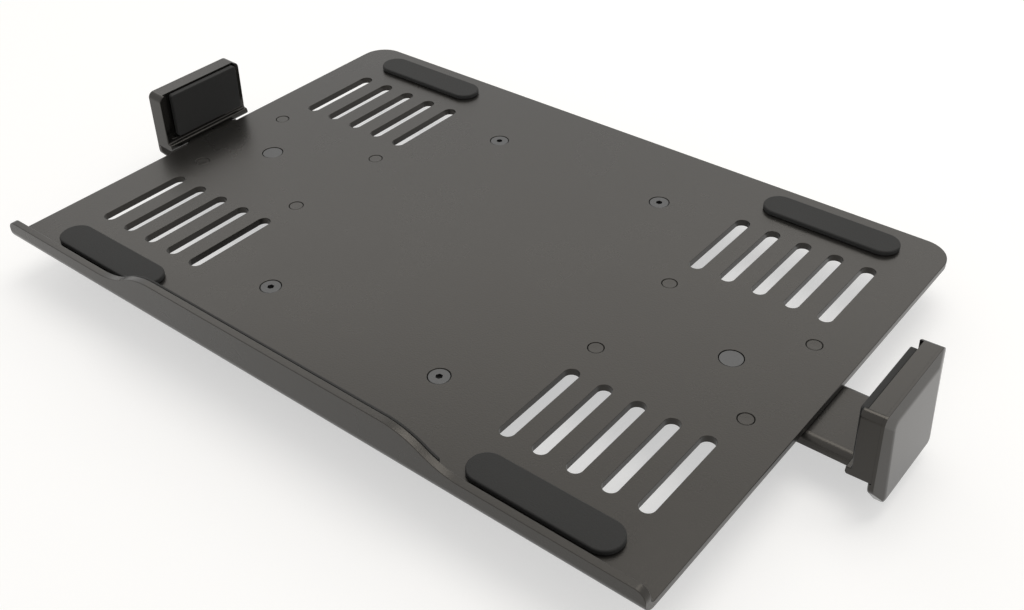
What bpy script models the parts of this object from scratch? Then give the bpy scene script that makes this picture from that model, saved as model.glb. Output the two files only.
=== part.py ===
"""Laptop tray mount: a bent sheet tray with a front lip and two side jaws on sliding arms.

Metres, X to the right, Y to the back, Z up. The origin is the middle of the mount bracket's
lower face, on which the object stands and by which a stand or an arm carries it.
Each side is built once, as the right one, in a frame that is turned round for the left.
"""

import math

import bmesh
import bpy
from mathutils import Matrix, Vector

# Clearances
GAP = 0.0003  # between pieces that are fastened together
RUN = 0.0005  # between the jaws and the arm where it enters them

# Tray
TRAY_LENGTH = 0.317
TRAY_DEPTH = 0.224
TRAY_SHEET = 0.003
TRAY_BEND = 0.0023  # inner radius of the bend under the lip
REAR_CORNER = 0.012
STANDOFF = 0.019  # from the mounting face up to the tray's underside

# Front lip, heights above the tray's floor
LIP_LOW = 0.0069
LIP_HIGH = 0.0156
LIP_RAISED = 0.1523  # between the middles of the two ogees
LIP_OFFSET = -0.0037  # of the raised stretch's middle from the tray's
OGEE_RUN = 0.034
LIP_END_RADIUS = 0.004
LIP_EDGE = 0.0005  # rounding of the upper edges
LIP_PAD_THICKNESS = 0.001
LIP_PAD_OVERRUN = 0.005  # past the middle of each ogee

# Vents in the tray's floor, in four fields
VENT_WIDTH = 0.006
VENT_PITCH = 0.014
VENT_LENGTH = 0.042
VENT_MARGIN = 0.0135  # from the bracket and from the tray's sides to a field

# Floor pads
FLOOR_PAD_LENGTH = 0.060
FLOOR_PAD_WIDTH = 0.014
FLOOR_PAD_HEIGHT = 0.002
FLOOR_PAD_INSET_X = 0.018  # from the tray's sides
FLOOR_PAD_INSET_Y = 0.008  # from the rear edge, and from the lip's face

# Mount bracket
BRACKET_WIDTH = 0.118
BRACKET_BASE = 0.124
BRACKET_FLANGE = 0.018
BRACKET_SHEET = 0.0025
BRACKET_BEND = 0.002
BRACKET_CORNER = 0.006
HOLE_SQUARE_SMALL = 0.075
HOLE_SQUARE_LARGE = 0.100
PLATE_HOLE = 0.0045
BRACKET_SCREW_X = 0.044

# Bracket screws and nuts
SCREW_SHANK = 0.004
SCREW_HEAD = 0.0082
SCREW_LENGTH = 0.0115
SCREW_SOCKET = 0.0025
SOCKET_DEPTH = 0.0014
NUT_ACROSS_FLATS = 0.007
NUT_HEIGHT = 0.004

# Sliding arms
ARM_WIDTH = 0.033
ARM_HEIGHT = 0.0046
ARM_SHEET = 0.0022
ARM_BEND = 0.001
ARM_TAIL = 0.0068  # behind the slot's inner end
TRAVEL = 0.052
NECK_WIDTH = 0.026  # of the arm's end that bends up into the jaw
NECK_BEND = 0.0012
UPRIGHT_TOP = 0.014  # above the tray's floor

# Channels and liners
CHANNEL_LENGTH = 0.086
CHANNEL_SETBACK = 0.0055  # from the tray's side edge
CHANNEL_SHEET = 0.0015
CHANNEL_FLANGE = 0.010
CHANNEL_BEND = 0.0008
LINER_WALL = 0.001
LINER_SETBACK = 0.001
RIVET_SHANK = 0.0032
RIVET_HEAD = 0.0058
RIVET_SETBACK = 0.012  # from the channel's ends
RIVET_TAIL = 0.0048
RIVET_TAIL_HEIGHT = 0.0014

# Locks
STUD_INSET = 0.0375  # from the tray's side edge
STUD_SIZE = 0.006
STUD_HEAD = 0.009
STUD_HEAD_HEIGHT = 0.0012
WASHER_SIZE = 0.016
WASHER_THICKNESS = 0.001
KNOB_SIZE = 0.027
KNOB_HUB = 0.017
KNOB_HUB_HEIGHT = 0.002
KNOB_LOBES = 7
KNOB_LOBE_DEPTH = 0.0016
KNOB_EDGE = 0.0012
KNOB_FLOOR = 0.0009  # from the mounting face up to the knob
INSERT_SIZE = 0.0096

# Jaws, heights above the tray's floor
JAW_WIDTH = 0.0468
JAW_TOP = 0.0236
JAW_BACK = 0.0057  # from the seam to the pad's bed
JAW_CHEEK = 0.0015  # how far the cheeks stand before the pad's bed
CHEEK_WALL = 0.0026
JAW_FOOT = 0.0042  # below the tray's floor
JAW_TOE = 0.002
JAW_TOE_HEIGHT = 0.0033
JAW_TOP_CORNER = 0.002
JAW_FOOT_CORNER = 0.002
JAW_LEAN = math.radians(2.1)
COVER_DROP = 0.0175  # below the tray's floor
COVER_SIDE = 0.0008
COVER_DEPTH_UPPER = 0.0023  # at the upper edge of the flat face
COVER_DEPTH_LOWER = 0.0034  # at its lower edge
COVER_BEVEL_UPPER = 0.0046
COVER_BEVEL_SIDE = 0.0055
COVER_BEVEL_LOWER = 0.0033
COVER_CUT_HEIGHT = 0.0098  # of the corners cut off below
COVER_CUT_WIDTH = 0.0078
COVER_CUT_RADIUS = 0.004
COVER_FLAT_UPPER_CORNER = 0.003
COVER_FLAT_LOWER_CORNER = 0.002
COVER_LIP = 0.0012  # how far the cover reaches in under the body
PAD_THICKNESS = 0.0025
PAD_LENGTH = 0.038
PAD_HEIGHT = 0.0215
PAD_BED = 0.001  # above the tray's floor
JAW_SCREW_SPREAD = 0.018
JAW_SCREW_HEIGHT = 0.0085
JAW_SCREW_SIZE = 0.003
JAW_SCREW_HEAD = 0.0054
JAW_SCREW_HEAD_HEIGHT = 0.0013
JAW_SCREW_BITE = 0.0016  # into the cover

# Where the jaws stand, counted from fully closed
CLOSED_CLEARANCE = 0.001  # between the jaw's toe and the tray's side when closed
RIGHT_REACH = 0.0174
LEFT_REACH = 0.0058

# Facets
BEND_STEPS = 4
OGEE_STEPS = 8
CORNER_STEPS = 5
ROUND_STEPS = 20
SMALL_ROUND_STEPS = 14
CUT_MARGIN = 0.001  # how far a cutter runs past what it cuts

# Heights and places that follow
TRAY_TOP = STANDOFF + TRAY_SHEET
FRONT = -TRAY_DEPTH / 2
REAR = TRAY_DEPTH / 2
SIDE = TRAY_LENGTH / 2
TRAY_BEND_OUTER = TRAY_BEND + TRAY_SHEET
HANG = STANDOFF - GAP  # upper face of what is fastened under the tray
ARM_LOW = HANG - ARM_HEIGHT
LINER_LOW = ARM_LOW - GAP - LINER_WALL
CHANNEL_LOW = LINER_LOW - GAP - CHANNEL_SHEET
WASHER_LOW = CHANNEL_LOW - GAP - WASHER_THICKNESS
KNOB_TOP = WASHER_LOW - GAP
LINER_WIDTH = ARM_WIDTH + 2 * (GAP + LINER_WALL)
CHANNEL_WIDTH = LINER_WIDTH + 2 * (GAP + CHANNEL_SHEET)
CHANNEL_OUT = SIDE - CHANNEL_SETBACK
CHANNEL_IN = CHANNEL_OUT - CHANNEL_LENGTH
RIVET_Y = CHANNEL_WIDTH / 2 + CHANNEL_FLANGE / 2
STUD_X = SIDE - STUD_INSET
SLOT_WIDTH = STUD_SIZE + 2 * RUN
JAW_DEPTH = JAW_BACK + JAW_CHEEK
SEAM_CLOSED = SIDE + CLOSED_CLEARANCE + JAW_DEPTH + JAW_TOE
BRACKET_SCREW_Y = BRACKET_BASE / 2 + BRACKET_FLANGE / 2


def colour_material(name, colour, roughness, metallic=0.0):
    material = bpy.data.materials.new(name)
    material.use_nodes = True
    shader = material.node_tree.nodes["Principled BSDF"]
    shader.inputs["Base Color"].default_value = (*colour, 1.0)
    shader.inputs["Roughness"].default_value = roughness
    shader.inputs["Metallic"].default_value = metallic
    return material


def frame_empty(name, location, turn, parent=None):
    """An empty that places the pieces parented to it."""
    empty = bpy.data.objects.new(name, None)
    bpy.context.scene.collection.objects.link(empty)
    empty.location = location
    empty.rotation_euler = turn
    empty.parent = parent
    return empty


def piece(name, bm, material, parent=None, smooth_angle=35):
    """Turns a bmesh into a named object, shaded smooth below the angle."""
    bmesh.ops.recalc_face_normals(bm, faces=bm.faces)
    mesh = bpy.data.meshes.new(name)
    bm.to_mesh(mesh)
    bm.free()
    mesh.materials.append(material)
    mesh.shade_smooth()
    mesh.set_sharp_from_angle(angle=math.radians(smooth_angle))
    obj = bpy.data.objects.new(name, mesh)
    bpy.context.scene.collection.objects.link(obj)
    obj.parent = parent
    return obj


def combine(obj, tool_bm, operation="DIFFERENCE"):
    """Cuts a tool from an object, joins it on, or keeps what both share."""
    bmesh.ops.recalc_face_normals(tool_bm, faces=tool_bm.faces)
    mesh = bpy.data.meshes.new(f"{obj.name}_{operation.lower()}")
    tool_bm.to_mesh(mesh)
    tool_bm.free()
    tool = bpy.data.objects.new(mesh.name, mesh)
    bpy.context.scene.collection.objects.link(tool)
    tool.parent = obj.parent
    tool.hide_render = True
    tool.display_type = "WIRE"
    modifier = obj.modifiers.new(operation.title(), "BOOLEAN")
    modifier.operation = operation
    modifier.solver = "EXACT"
    modifier.object = tool


def gathered(*parts):
    """One bmesh that holds several closed shapes that don't touch."""
    whole = bmesh.new()
    for part in parts:
        mesh = bpy.data.meshes.new("gathered")
        part.to_mesh(mesh)
        part.free()
        whole.from_mesh(mesh)
        bpy.data.meshes.remove(mesh)
    return whole


def arc(centre, radius, start, end, steps=CORNER_STEPS):
    """Points on an arc, angles in degrees, both ends included."""
    angles = [math.radians(start + (end - start) * i / steps) for i in range(steps + 1)]
    return [(centre[0] + radius * math.cos(a), centre[1] + radius * math.sin(a)) for a in angles]


def rounded_box(low, high, radii, steps=CORNER_STEPS):
    """A rectangle's outline with a radius for each corner: left low, right low, right high, left high."""
    (a0, b0), (a1, b1) = low, high
    corners = ((a0, b0, 1, 1, 180), (a1, b0, -1, 1, 270), (a1, b1, -1, -1, 0), (a0, b1, 1, -1, 90))
    outline = []
    for (a, b, inward_a, inward_b, start), radius in zip(corners, radii):
        if radius > 0:
            centre = (a + inward_a * radius, b + inward_b * radius)
            outline += arc(centre, radius, start, start + 90, steps)
        else:
            outline.append((a, b))
    return outline


def fillet(before, corner, after, radius, steps):
    """Points on the arc that rounds the corner between two other points."""
    incoming = (Vector(corner) - Vector(before)).normalized()
    outgoing = (Vector(after) - Vector(corner)).normalized()
    turn = math.atan2(incoming.x * outgoing.y - incoming.y * outgoing.x, incoming.dot(outgoing))
    start = Vector(corner) - incoming * radius * math.tan(abs(turn) / 2)
    centre = start + Vector((-incoming.y, incoming.x)) * math.copysign(radius, turn)
    first = math.atan2(start.y - centre.y, start.x - centre.x)
    return arc(centre, radius, math.degrees(first), math.degrees(first + turn), steps)


def slot_outline(centre, length_a, length_b, steps=CORNER_STEPS):
    """A slot with round ends, long in whichever direction is longer."""
    radius = min(length_a, length_b) / 2
    low = (centre[0] - length_a / 2, centre[1] - length_b / 2)
    high = (centre[0] + length_a / 2, centre[1] + length_b / 2)
    outline = rounded_box(low, high, [radius] * 4, steps)
    return [p for p, q in zip(outline, outline[1:] + outline[:1]) if math.dist(p, q) > 1e-7]


def prism(outline, axis, low, high):
    """An outline in the two other axes, in X, Y, Z order, extruded along an axis."""
    place = {
        "X": lambda a, b, c: (c, a, b),
        "Y": lambda a, b, c: (a, c, b),
        "Z": lambda a, b, c: (a, b, c),
    }[axis]
    bm = bmesh.new()
    rim = [bm.verts.new(place(a, b, low)) for a, b in outline]
    bm.faces.new(rim)
    raised = bmesh.ops.extrude_face_region(bm, geom=bm.faces[:], use_keep_orig=True)["geom"]
    moved = [item for item in raised if isinstance(item, bmesh.types.BMVert)]
    bmesh.ops.translate(bm, verts=moved, vec=place(0, 0, high - low))
    return bm


def loft(rings):
    """A closed skin over rings of equally many points."""
    bm = bmesh.new()
    rows = [[bm.verts.new(point) for point in ring] for ring in rings]
    for row, following in zip(rows, rows[1:]):
        for i, vertex in enumerate(row):
            j = (i + 1) % len(row)
            bm.faces.new((vertex, row[j], following[j], following[i]))
    bm.faces.new(rows[0])
    bm.faces.new(rows[-1])
    return bm


def turned(profile, centre=(0, 0), steps=ROUND_STEPS):
    """A profile of (radius, height) points spun about an upright axis."""
    bm = bmesh.new()
    ring = [bm.verts.new((radius, 0, height)) for radius, height in profile]
    hollow = profile[0][0] > 0
    pairs = list(zip(ring, ring[1:])) + ([(ring[-1], ring[0])] if hollow else [])
    edges = [bm.edges.new(pair) for pair in pairs]
    bmesh.ops.spin(
        bm,
        geom=ring + edges,
        axis=(0, 0, 1),
        cent=(0, 0, 0),
        angle=math.tau,
        steps=steps,
        use_merge=True,
        use_duplicate=False,
    )
    bmesh.ops.remove_doubles(bm, verts=bm.verts, dist=1e-6)
    bmesh.ops.translate(bm, verts=bm.verts, vec=(*centre, 0))
    return bm


def sheet_section(path, thickness, inner_radius, steps=BEND_STEPS):
    """The outline of a bent sheet's section, from the corners of its middle line."""
    points = [Vector(p) for p in path]
    left, right = [], []

    def add(middle, normal):
        left.append(tuple(middle + normal * thickness / 2))
        right.append(tuple(middle - normal * thickness / 2))

    directions = [(b - a).normalized() for a, b in zip(points, points[1:])]
    normals = [Vector((-d.y, d.x)) for d in directions]
    add(points[0], normals[0])
    for corner, before, after, normal in zip(points[1:-1], directions, directions[1:], normals):
        turn = math.atan2(before.x * after.y - before.y * after.x, before.dot(after))
        radius = inner_radius + thickness / 2
        side = math.copysign(1, turn)
        start = corner - before * radius * math.tan(abs(turn) / 2)
        centre = start + normal * side * radius
        for i in range(steps + 1):
            swung = Matrix.Rotation(turn * i / steps, 2) @ normal
            add(centre - swung * side * radius, swung)
    add(points[-1], normals[-1])
    return left + right[::-1]


def lip_height(x):
    """Height of the lip above the tray's floor at x: high, an ogee of two arcs, low, a round end."""
    start = LIP_RAISED / 2 - OGEE_RUN / 2
    end = start + OGEE_RUN
    rise = LIP_HIGH - LIP_LOW
    radius = (OGEE_RUN**2 + rise**2) / (4 * rise)
    out = abs(x - LIP_OFFSET)
    if out <= start:
        return LIP_HIGH
    if out <= (start + end) / 2:
        return LIP_HIGH - radius + math.sqrt(radius**2 - (out - start) ** 2)
    if out <= end:
        return LIP_LOW + radius - math.sqrt(radius**2 - (end - out) ** 2)
    past = abs(x) - (SIDE - LIP_END_RADIUS)
    if past <= 0:
        return LIP_LOW
    return LIP_LOW - LIP_END_RADIUS + math.sqrt(max(LIP_END_RADIUS**2 - past**2, 0))


def ogee_stations():
    """Places along one ogee, counted from the middle of the raised stretch."""
    start = LIP_RAISED / 2 - OGEE_RUN / 2
    return [start + OGEE_RUN * i / OGEE_STEPS for i in range(OGEE_STEPS + 1)]


def lip_stations():
    """Places along X where the tray's section is set."""
    ends = [x - LIP_END_RADIUS for x, _ in arc((SIDE, 0), LIP_END_RADIUS, 90, 0)]
    ogee = ogee_stations()
    left = [-x for x in reversed(ends)] + [LIP_OFFSET - x for x in reversed(ogee)]
    return left + [LIP_OFFSET + x for x in ogee] + ends


def tray_section(x):
    """The tray's section at x, with rounded upper edges on the lip."""
    middle = STANDOFF + TRAY_SHEET / 2
    top = TRAY_TOP + lip_height(x)
    face = FRONT + TRAY_SHEET / 2
    path = ((REAR, middle), (face, middle), (face, top - LIP_EDGE))
    outline = sheet_section(path, TRAY_SHEET, TRAY_BEND)
    half = len(outline) // 2
    upper = outline[:half]
    lower = outline[half:]
    outer = arc((FRONT + LIP_EDGE, top - LIP_EDGE), LIP_EDGE, 180, 90, 3)[1:]
    inner = arc((FRONT + TRAY_SHEET - LIP_EDGE, top - LIP_EDGE), LIP_EDGE, 90, 0, 3)[:-1]
    if upper[-1][0] > lower[0][0]:
        ring = lower[::-1] + outer + inner + upper[::-1]
    else:
        ring = upper + outer + inner + lower
    return [(x, y, z) for y, z in ring]


def rear_corner_cutter(side):
    """What is cut off to round one rear corner of the tray."""
    edge = side * SIDE
    centre = (edge - side * REAR_CORNER, REAR - REAR_CORNER)
    curve = arc(centre, REAR_CORNER, 90, 90 - side * 90)
    far_x = edge + side * CUT_MARGIN
    far_y = REAR + CUT_MARGIN
    outline = [(centre[0], far_y), *curve, (far_x, centre[1]), (far_x, far_y)]
    return prism(outline, "Z", STANDOFF - CUT_MARGIN, TRAY_TOP + CUT_MARGIN)


def vent_places():
    """Middles of the vents in the field at the right rear."""
    first = BRACKET_WIDTH / 2 + VENT_MARGIN + VENT_WIDTH / 2
    last = SIDE - VENT_MARGIN - VENT_WIDTH / 2
    count = int((last - first + 1e-9) / VENT_PITCH) + 1
    spare = (last - first - (count - 1) * VENT_PITCH) / 2
    y_low = CHANNEL_WIDTH / 2 + CHANNEL_FLANGE
    y_high = REAR - FLOOR_PAD_INSET_Y - FLOOR_PAD_WIDTH
    return [(first + spare + i * VENT_PITCH, (y_low + y_high) / 2) for i in range(count)]


def vent_cutters():
    cutters = []
    for side_x in (-1, 1):
        for side_y in (-1, 1):
            for x, y in vent_places():
                outline = slot_outline((side_x * x, side_y * y), VENT_WIDTH, VENT_LENGTH, 3)
                cutters.append(prism(outline, "Z", STANDOFF - CUT_MARGIN, TRAY_TOP + CUT_MARGIN))
    return cutters


def countersink_cutter(x, y, shank, head):
    """A hole through the tray for a flat-headed fastener, with room all round it."""
    hole = shank / 2 + GAP
    mouth = head / 2 + GAP
    profile = (
        (0, STANDOFF - CUT_MARGIN),
        (hole, STANDOFF - CUT_MARGIN),
        (hole, TRAY_TOP - GAP - (mouth - hole)),
        (mouth, TRAY_TOP - GAP),
        (mouth, TRAY_TOP + CUT_MARGIN),
        (0, TRAY_TOP + CUT_MARGIN),
    )
    return turned(profile, (x, y), SMALL_ROUND_STEPS)


def stud_cutter(x):
    """The stepped hole that a lock stud is pressed into."""
    hole = STUD_SIZE / 2 + GAP
    mouth = STUD_HEAD / 2 + GAP
    step = TRAY_TOP - STUD_HEAD_HEIGHT - GAP
    profile = (
        (0, STANDOFF - CUT_MARGIN),
        (hole, STANDOFF - CUT_MARGIN),
        (hole, step),
        (mouth, step),
        (mouth, TRAY_TOP + CUT_MARGIN),
        (0, TRAY_TOP + CUT_MARGIN),
    )
    return turned(profile, (x, 0))


def rivet_places():
    """The rivets of the right side's channel."""
    xs = (CHANNEL_IN + RIVET_SETBACK, CHANNEL_OUT - RIVET_SETBACK)
    return [(x, y) for x in xs for y in (-RIVET_Y, RIVET_Y)]


def bracket_screw_places():
    return [
        (x, y)
        for x in (-BRACKET_SCREW_X, BRACKET_SCREW_X)
        for y in (-BRACKET_SCREW_Y, BRACKET_SCREW_Y)
    ]


def make_tray(material):
    tray = piece("tray", loft([tray_section(x) for x in lip_stations()]), material)
    holes = [countersink_cutter(x, y, SCREW_SHANK, SCREW_HEAD) for x, y in bracket_screw_places()]
    for side in (-1, 1):
        holes.append(rear_corner_cutter(side))
        holes.append(stud_cutter(side * STUD_X))
        for x, y in rivet_places():
            holes.append(countersink_cutter(side * x, y, RIVET_SHANK, RIVET_HEAD))
    combine(tray, gathered(*holes, *vent_cutters()))


def make_lip_pad(material):
    """The soft strip behind the raised lip, cut to the lip's own outline."""
    end = LIP_RAISED / 2 + LIP_PAD_OVERRUN
    right = [x for x in ogee_stations() if x < end - 1e-6] + [end]
    low = STANDOFF + TRAY_BEND_OUTER + GAP
    near = FRONT + TRAY_SHEET + GAP
    far = near + LIP_PAD_THICKNESS
    rings = []
    for x in [LIP_OFFSET - x for x in reversed(right)] + [LIP_OFFSET + x for x in right]:
        high = TRAY_TOP + lip_height(x) - GAP
        rings.append([(x, near, low), (x, far, low), (x, far, high), (x, near, high)])
    piece("lip_pad", loft(rings), material)


def make_floor_pads(material):
    """Four soft strips that keep what lies on the tray off its floor."""
    x = SIDE - FLOOR_PAD_INSET_X - FLOOR_PAD_LENGTH / 2
    y = REAR - FLOOR_PAD_INSET_Y - FLOOR_PAD_WIDTH / 2
    low = TRAY_TOP + GAP
    rim = FLOOR_PAD_HEIGHT / 4
    for name_x, side_x in (("left", -1), ("right", 1)):
        for name_y, side_y in (("front", -1), ("rear", 1)):
            rings = []
            for inset, height in ((0, 0), (0, FLOOR_PAD_HEIGHT - rim), (rim, FLOOR_PAD_HEIGHT)):
                length = FLOOR_PAD_LENGTH - 2 * inset
                width = FLOOR_PAD_WIDTH - 2 * inset
                outline = slot_outline((side_x * x, side_y * y), length, width)
                rings.append([(a, b, low + height) for a, b in outline])
            piece(f"floor_pad_{name_y}_{name_x}", loft(rings), material)


def make_bracket(material):
    """A folded hat of sheet under the tray, with the display plate's two squares of holes."""
    leg = BRACKET_BASE / 2 - BRACKET_SHEET / 2
    base = BRACKET_SHEET / 2
    flange = HANG - BRACKET_SHEET / 2
    end = BRACKET_BASE / 2 + BRACKET_FLANGE
    path = ((-end, flange), (-leg, flange), (-leg, base), (leg, base), (leg, flange), (end, flange))
    outline = sheet_section(path, BRACKET_SHEET, BRACKET_BEND)
    half = BRACKET_WIDTH / 2
    bracket = piece("mount_bracket", prism(outline, "X", -half, half), material)
    plan = rounded_box((-half, -end), (half, end), [BRACKET_CORNER] * 4)
    combine(bracket, prism(plan, "Z", -CUT_MARGIN, STANDOFF), "INTERSECT")
    holes = []
    for square in (HOLE_SQUARE_SMALL, HOLE_SQUARE_LARGE):
        for x in (-square / 2, square / 2):
            for y in (-square / 2, square / 2):
                high = BRACKET_SHEET + CUT_MARGIN
                profile = ((0, -CUT_MARGIN), (PLATE_HOLE / 2, -CUT_MARGIN), (PLATE_HOLE / 2, high), (0, high))
                holes.append(turned(profile, (x, y), SMALL_ROUND_STEPS))
    for x, y in bracket_screw_places():
        radius = SCREW_SHANK / 2 + GAP
        low = HANG - BRACKET_SHEET - CUT_MARGIN
        profile = ((0, low), (radius, low), (radius, HANG + CUT_MARGIN), (0, HANG + CUT_MARGIN))
        holes.append(turned(profile, (x, y), SMALL_ROUND_STEPS))
    combine(bracket, gathered(*holes))


def flat_head_profile(shank, head, length, top):
    """Half outline of a flat-headed fastener, from its tip up to its head."""
    cone = head / 2 - shank / 2
    land = GAP / 2
    return (
        (0, top - length),
        (shank / 2, top - length),
        (shank / 2, top - land - cone),
        (head / 2, top - land),
        (head / 2, top),
        (0, top),
    )


def hexagon(centre, across_flats):
    radius = across_flats / 2 / math.cos(math.pi / 6)
    return arc(centre, radius, 0, 300, 5)


def make_bracket_fasteners(screw_material, nut_material):
    top = TRAY_TOP - GAP / 2
    for i, (x, y) in enumerate(bracket_screw_places(), 1):
        profile = flat_head_profile(SCREW_SHANK, SCREW_HEAD, SCREW_LENGTH, top)
        screw = piece(f"bracket_screw_{i}", turned(profile, (x, y)), screw_material)
        socket = hexagon((x, y), SCREW_SOCKET)
        combine(screw, prism(socket, "Z", top - SOCKET_DEPTH, top + CUT_MARGIN))
        nut_top = HANG - BRACKET_SHEET - GAP
        outline = hexagon((x, y), NUT_ACROSS_FLATS)
        nut = piece(f"bracket_nut_{i}", prism(outline, "Z", nut_top - NUT_HEIGHT, nut_top), nut_material)
        radius = SCREW_SHANK / 2 + GAP
        low = nut_top - NUT_HEIGHT - CUT_MARGIN
        high = nut_top + CUT_MARGIN
        combine(nut, turned(((0, low), (radius, low), (radius, high), (0, high)), (x, y), SMALL_ROUND_STEPS))


def make_channel(side, frame, material, liner_material):
    """The folded channel that holds an arm to the tray's underside, and its liner."""
    leg = CHANNEL_WIDTH / 2 - CHANNEL_SHEET / 2
    base = CHANNEL_LOW + CHANNEL_SHEET / 2
    flange = HANG - CHANNEL_SHEET / 2
    end = CHANNEL_WIDTH / 2 + CHANNEL_FLANGE
    path = ((-end, flange), (-leg, flange), (-leg, base), (leg, base), (leg, flange), (end, flange))
    outline = sheet_section(path, CHANNEL_SHEET, CHANNEL_BEND, 4)
    bm = prism(outline, "X", CHANNEL_IN, CHANNEL_OUT)
    channel = piece(f"{side}_channel", bm, material, frame)
    hole = STUD_SIZE / 2 + RUN
    low = CHANNEL_LOW - CUT_MARGIN
    high = CHANNEL_LOW + CHANNEL_SHEET + CUT_MARGIN / 2
    holes = [turned(((0, low), (hole, low), (hole, high), (0, high)), (STUD_X, 0))]
    for x, y in rivet_places():
        radius = RIVET_SHANK / 2 + GAP
        low = HANG - CHANNEL_SHEET - CUT_MARGIN
        high = HANG + CUT_MARGIN
        holes.append(turned(((0, low), (radius, low), (radius, high), (0, high)), (x, y), SMALL_ROUND_STEPS))
    combine(channel, gathered(*holes))

    leg = LINER_WIDTH / 2 - LINER_WALL / 2
    base = LINER_LOW + LINER_WALL / 2
    rim = HANG - GAP
    outline = sheet_section(((-leg, rim), (-leg, base), (leg, base), (leg, rim)), LINER_WALL, GAP, 3)
    bm = prism(outline, "X", CHANNEL_IN + LINER_SETBACK, CHANNEL_OUT - LINER_SETBACK)
    liner = piece(f"{side}_liner", bm, liner_material, frame)
    low = LINER_LOW - CUT_MARGIN
    high = LINER_LOW + LINER_WALL + CUT_MARGIN
    combine(liner, turned(((0, low), (hole, low), (hole, high), (0, high)), (STUD_X, 0)))


def make_rivets(side, frame, material):
    top = TRAY_TOP - GAP / 2
    shank = RIVET_SHANK / 2
    tail_top = HANG - CHANNEL_SHEET - GAP
    tail_low = tail_top - RIVET_TAIL_HEIGHT
    tail = RIVET_TAIL / 2
    cone = RIVET_HEAD / 2 - shank
    land = GAP / 2
    profile = (
        (0, tail_low),
        (tail * 0.7, tail_low),
        (tail, tail_low + RIVET_TAIL_HEIGHT / 3),
        (tail, tail_top),
        (shank, tail_top),
        (shank, top - land - cone),
        (RIVET_HEAD / 2, top - land),
        (RIVET_HEAD / 2, top),
        (0, top),
    )
    for i, place in enumerate(rivet_places(), 1):
        piece(f"{side}_rivet_{i}", turned(profile, place, SMALL_ROUND_STEPS), material, frame)


def make_arm(side, frame, material):
    """A folded arm: a channel section with the stud's slot, and a neck bent up into the jaw."""
    leg = ARM_WIDTH / 2 - ARM_SHEET / 2
    web = HANG - ARM_SHEET / 2
    outline = sheet_section(((-leg, ARM_LOW), (-leg, web), (leg, web), (leg, ARM_LOW)), ARM_SHEET, ARM_BEND)
    slot_low = STUD_X - TRAVEL - SLOT_WIDTH / 2
    slot_high = STUD_X + SLOT_WIDTH / 2
    inner_end = slot_low - ARM_TAIL
    fold_end = SEAM_CLOSED - JAW_DEPTH - JAW_TOE - RUN
    arm = piece(f"{side}_arm", prism(outline, "X", inner_end, fold_end), material, frame)

    lean = math.tan(JAW_LEAN)
    inset = ARM_SHEET / 2 / math.cos(JAW_LEAN)
    corner = (SEAM_CLOSED - inset + (TRAY_TOP - web) * lean, web)
    top = (SEAM_CLOSED - inset - UPRIGHT_TOP * lean, TRAY_TOP + UPRIGHT_TOP)
    start = (fold_end - NECK_WIDTH / 4, web)
    outline = sheet_section((start, corner, top), ARM_SHEET, NECK_BEND)
    neck = prism(outline, "Y", -NECK_WIDTH / 2, NECK_WIDTH / 2)
    combine(arm, neck, "UNION")

    outline = slot_outline(((slot_low + slot_high) / 2, 0), slot_high - slot_low, SLOT_WIDTH, 6)
    slot = prism(outline, "Z", HANG - ARM_SHEET - CUT_MARGIN, HANG + CUT_MARGIN)
    seam = Matrix.Translation((SEAM_CLOSED, 0, TRAY_TOP)) @ Matrix.Rotation(-JAW_LEAN, 4, "Y")
    holes = [slot]
    for hole in jaw_screw_tools(JAW_SCREW_SIZE / 2 + GAP, -ARM_SHEET - CUT_MARGIN, CUT_MARGIN):
        hole.transform(seam)
        holes.append(hole)
    combine(arm, gathered(*holes))


def make_lock(side, frame, knob_frame, materials):
    """The stud through the arm's slot, the washer, and the knob with its threaded insert."""
    radius = STUD_SIZE / 2
    top = TRAY_TOP - GAP / 2
    insert_low = KNOB_FLOOR + KNOB_HUB_HEIGHT + GAP
    tip = insert_low + GAP
    profile = (
        (0, tip),
        (radius * 0.8, tip),
        (radius, tip + radius * 0.2),
        (radius, top - STUD_HEAD_HEIGHT),
        (STUD_HEAD / 2, top - STUD_HEAD_HEIGHT),
        (STUD_HEAD / 2, top),
        (0, top),
    )
    piece(f"{side}_lock_stud", turned(profile, (STUD_X, 0)), materials["plated"], frame)

    bore = radius + GAP
    washer_top = WASHER_LOW + WASHER_THICKNESS
    rim = WASHER_SIZE / 2
    profile = ((bore, WASHER_LOW), (rim, WASHER_LOW), (rim, washer_top), (bore, washer_top))
    piece(f"{side}_lock_washer", turned(profile, (STUD_X, 0)), materials["plated"], frame)

    insert_top = KNOB_TOP - GAP
    wall = INSERT_SIZE / 2
    profile = ((bore, insert_low), (wall, insert_low), (wall, insert_top), (bore, insert_top))
    piece(f"{side}_knob_insert", turned(profile), materials["brass"], knob_frame)

    knob = piece(f"{side}_lock_knob", knob_body(), materials["moulded"], knob_frame)
    hole = wall + GAP
    low = insert_low - GAP
    high = KNOB_TOP + CUT_MARGIN
    combine(knob, turned(((0, low), (hole, low), (hole, high), (0, high))))


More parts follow.
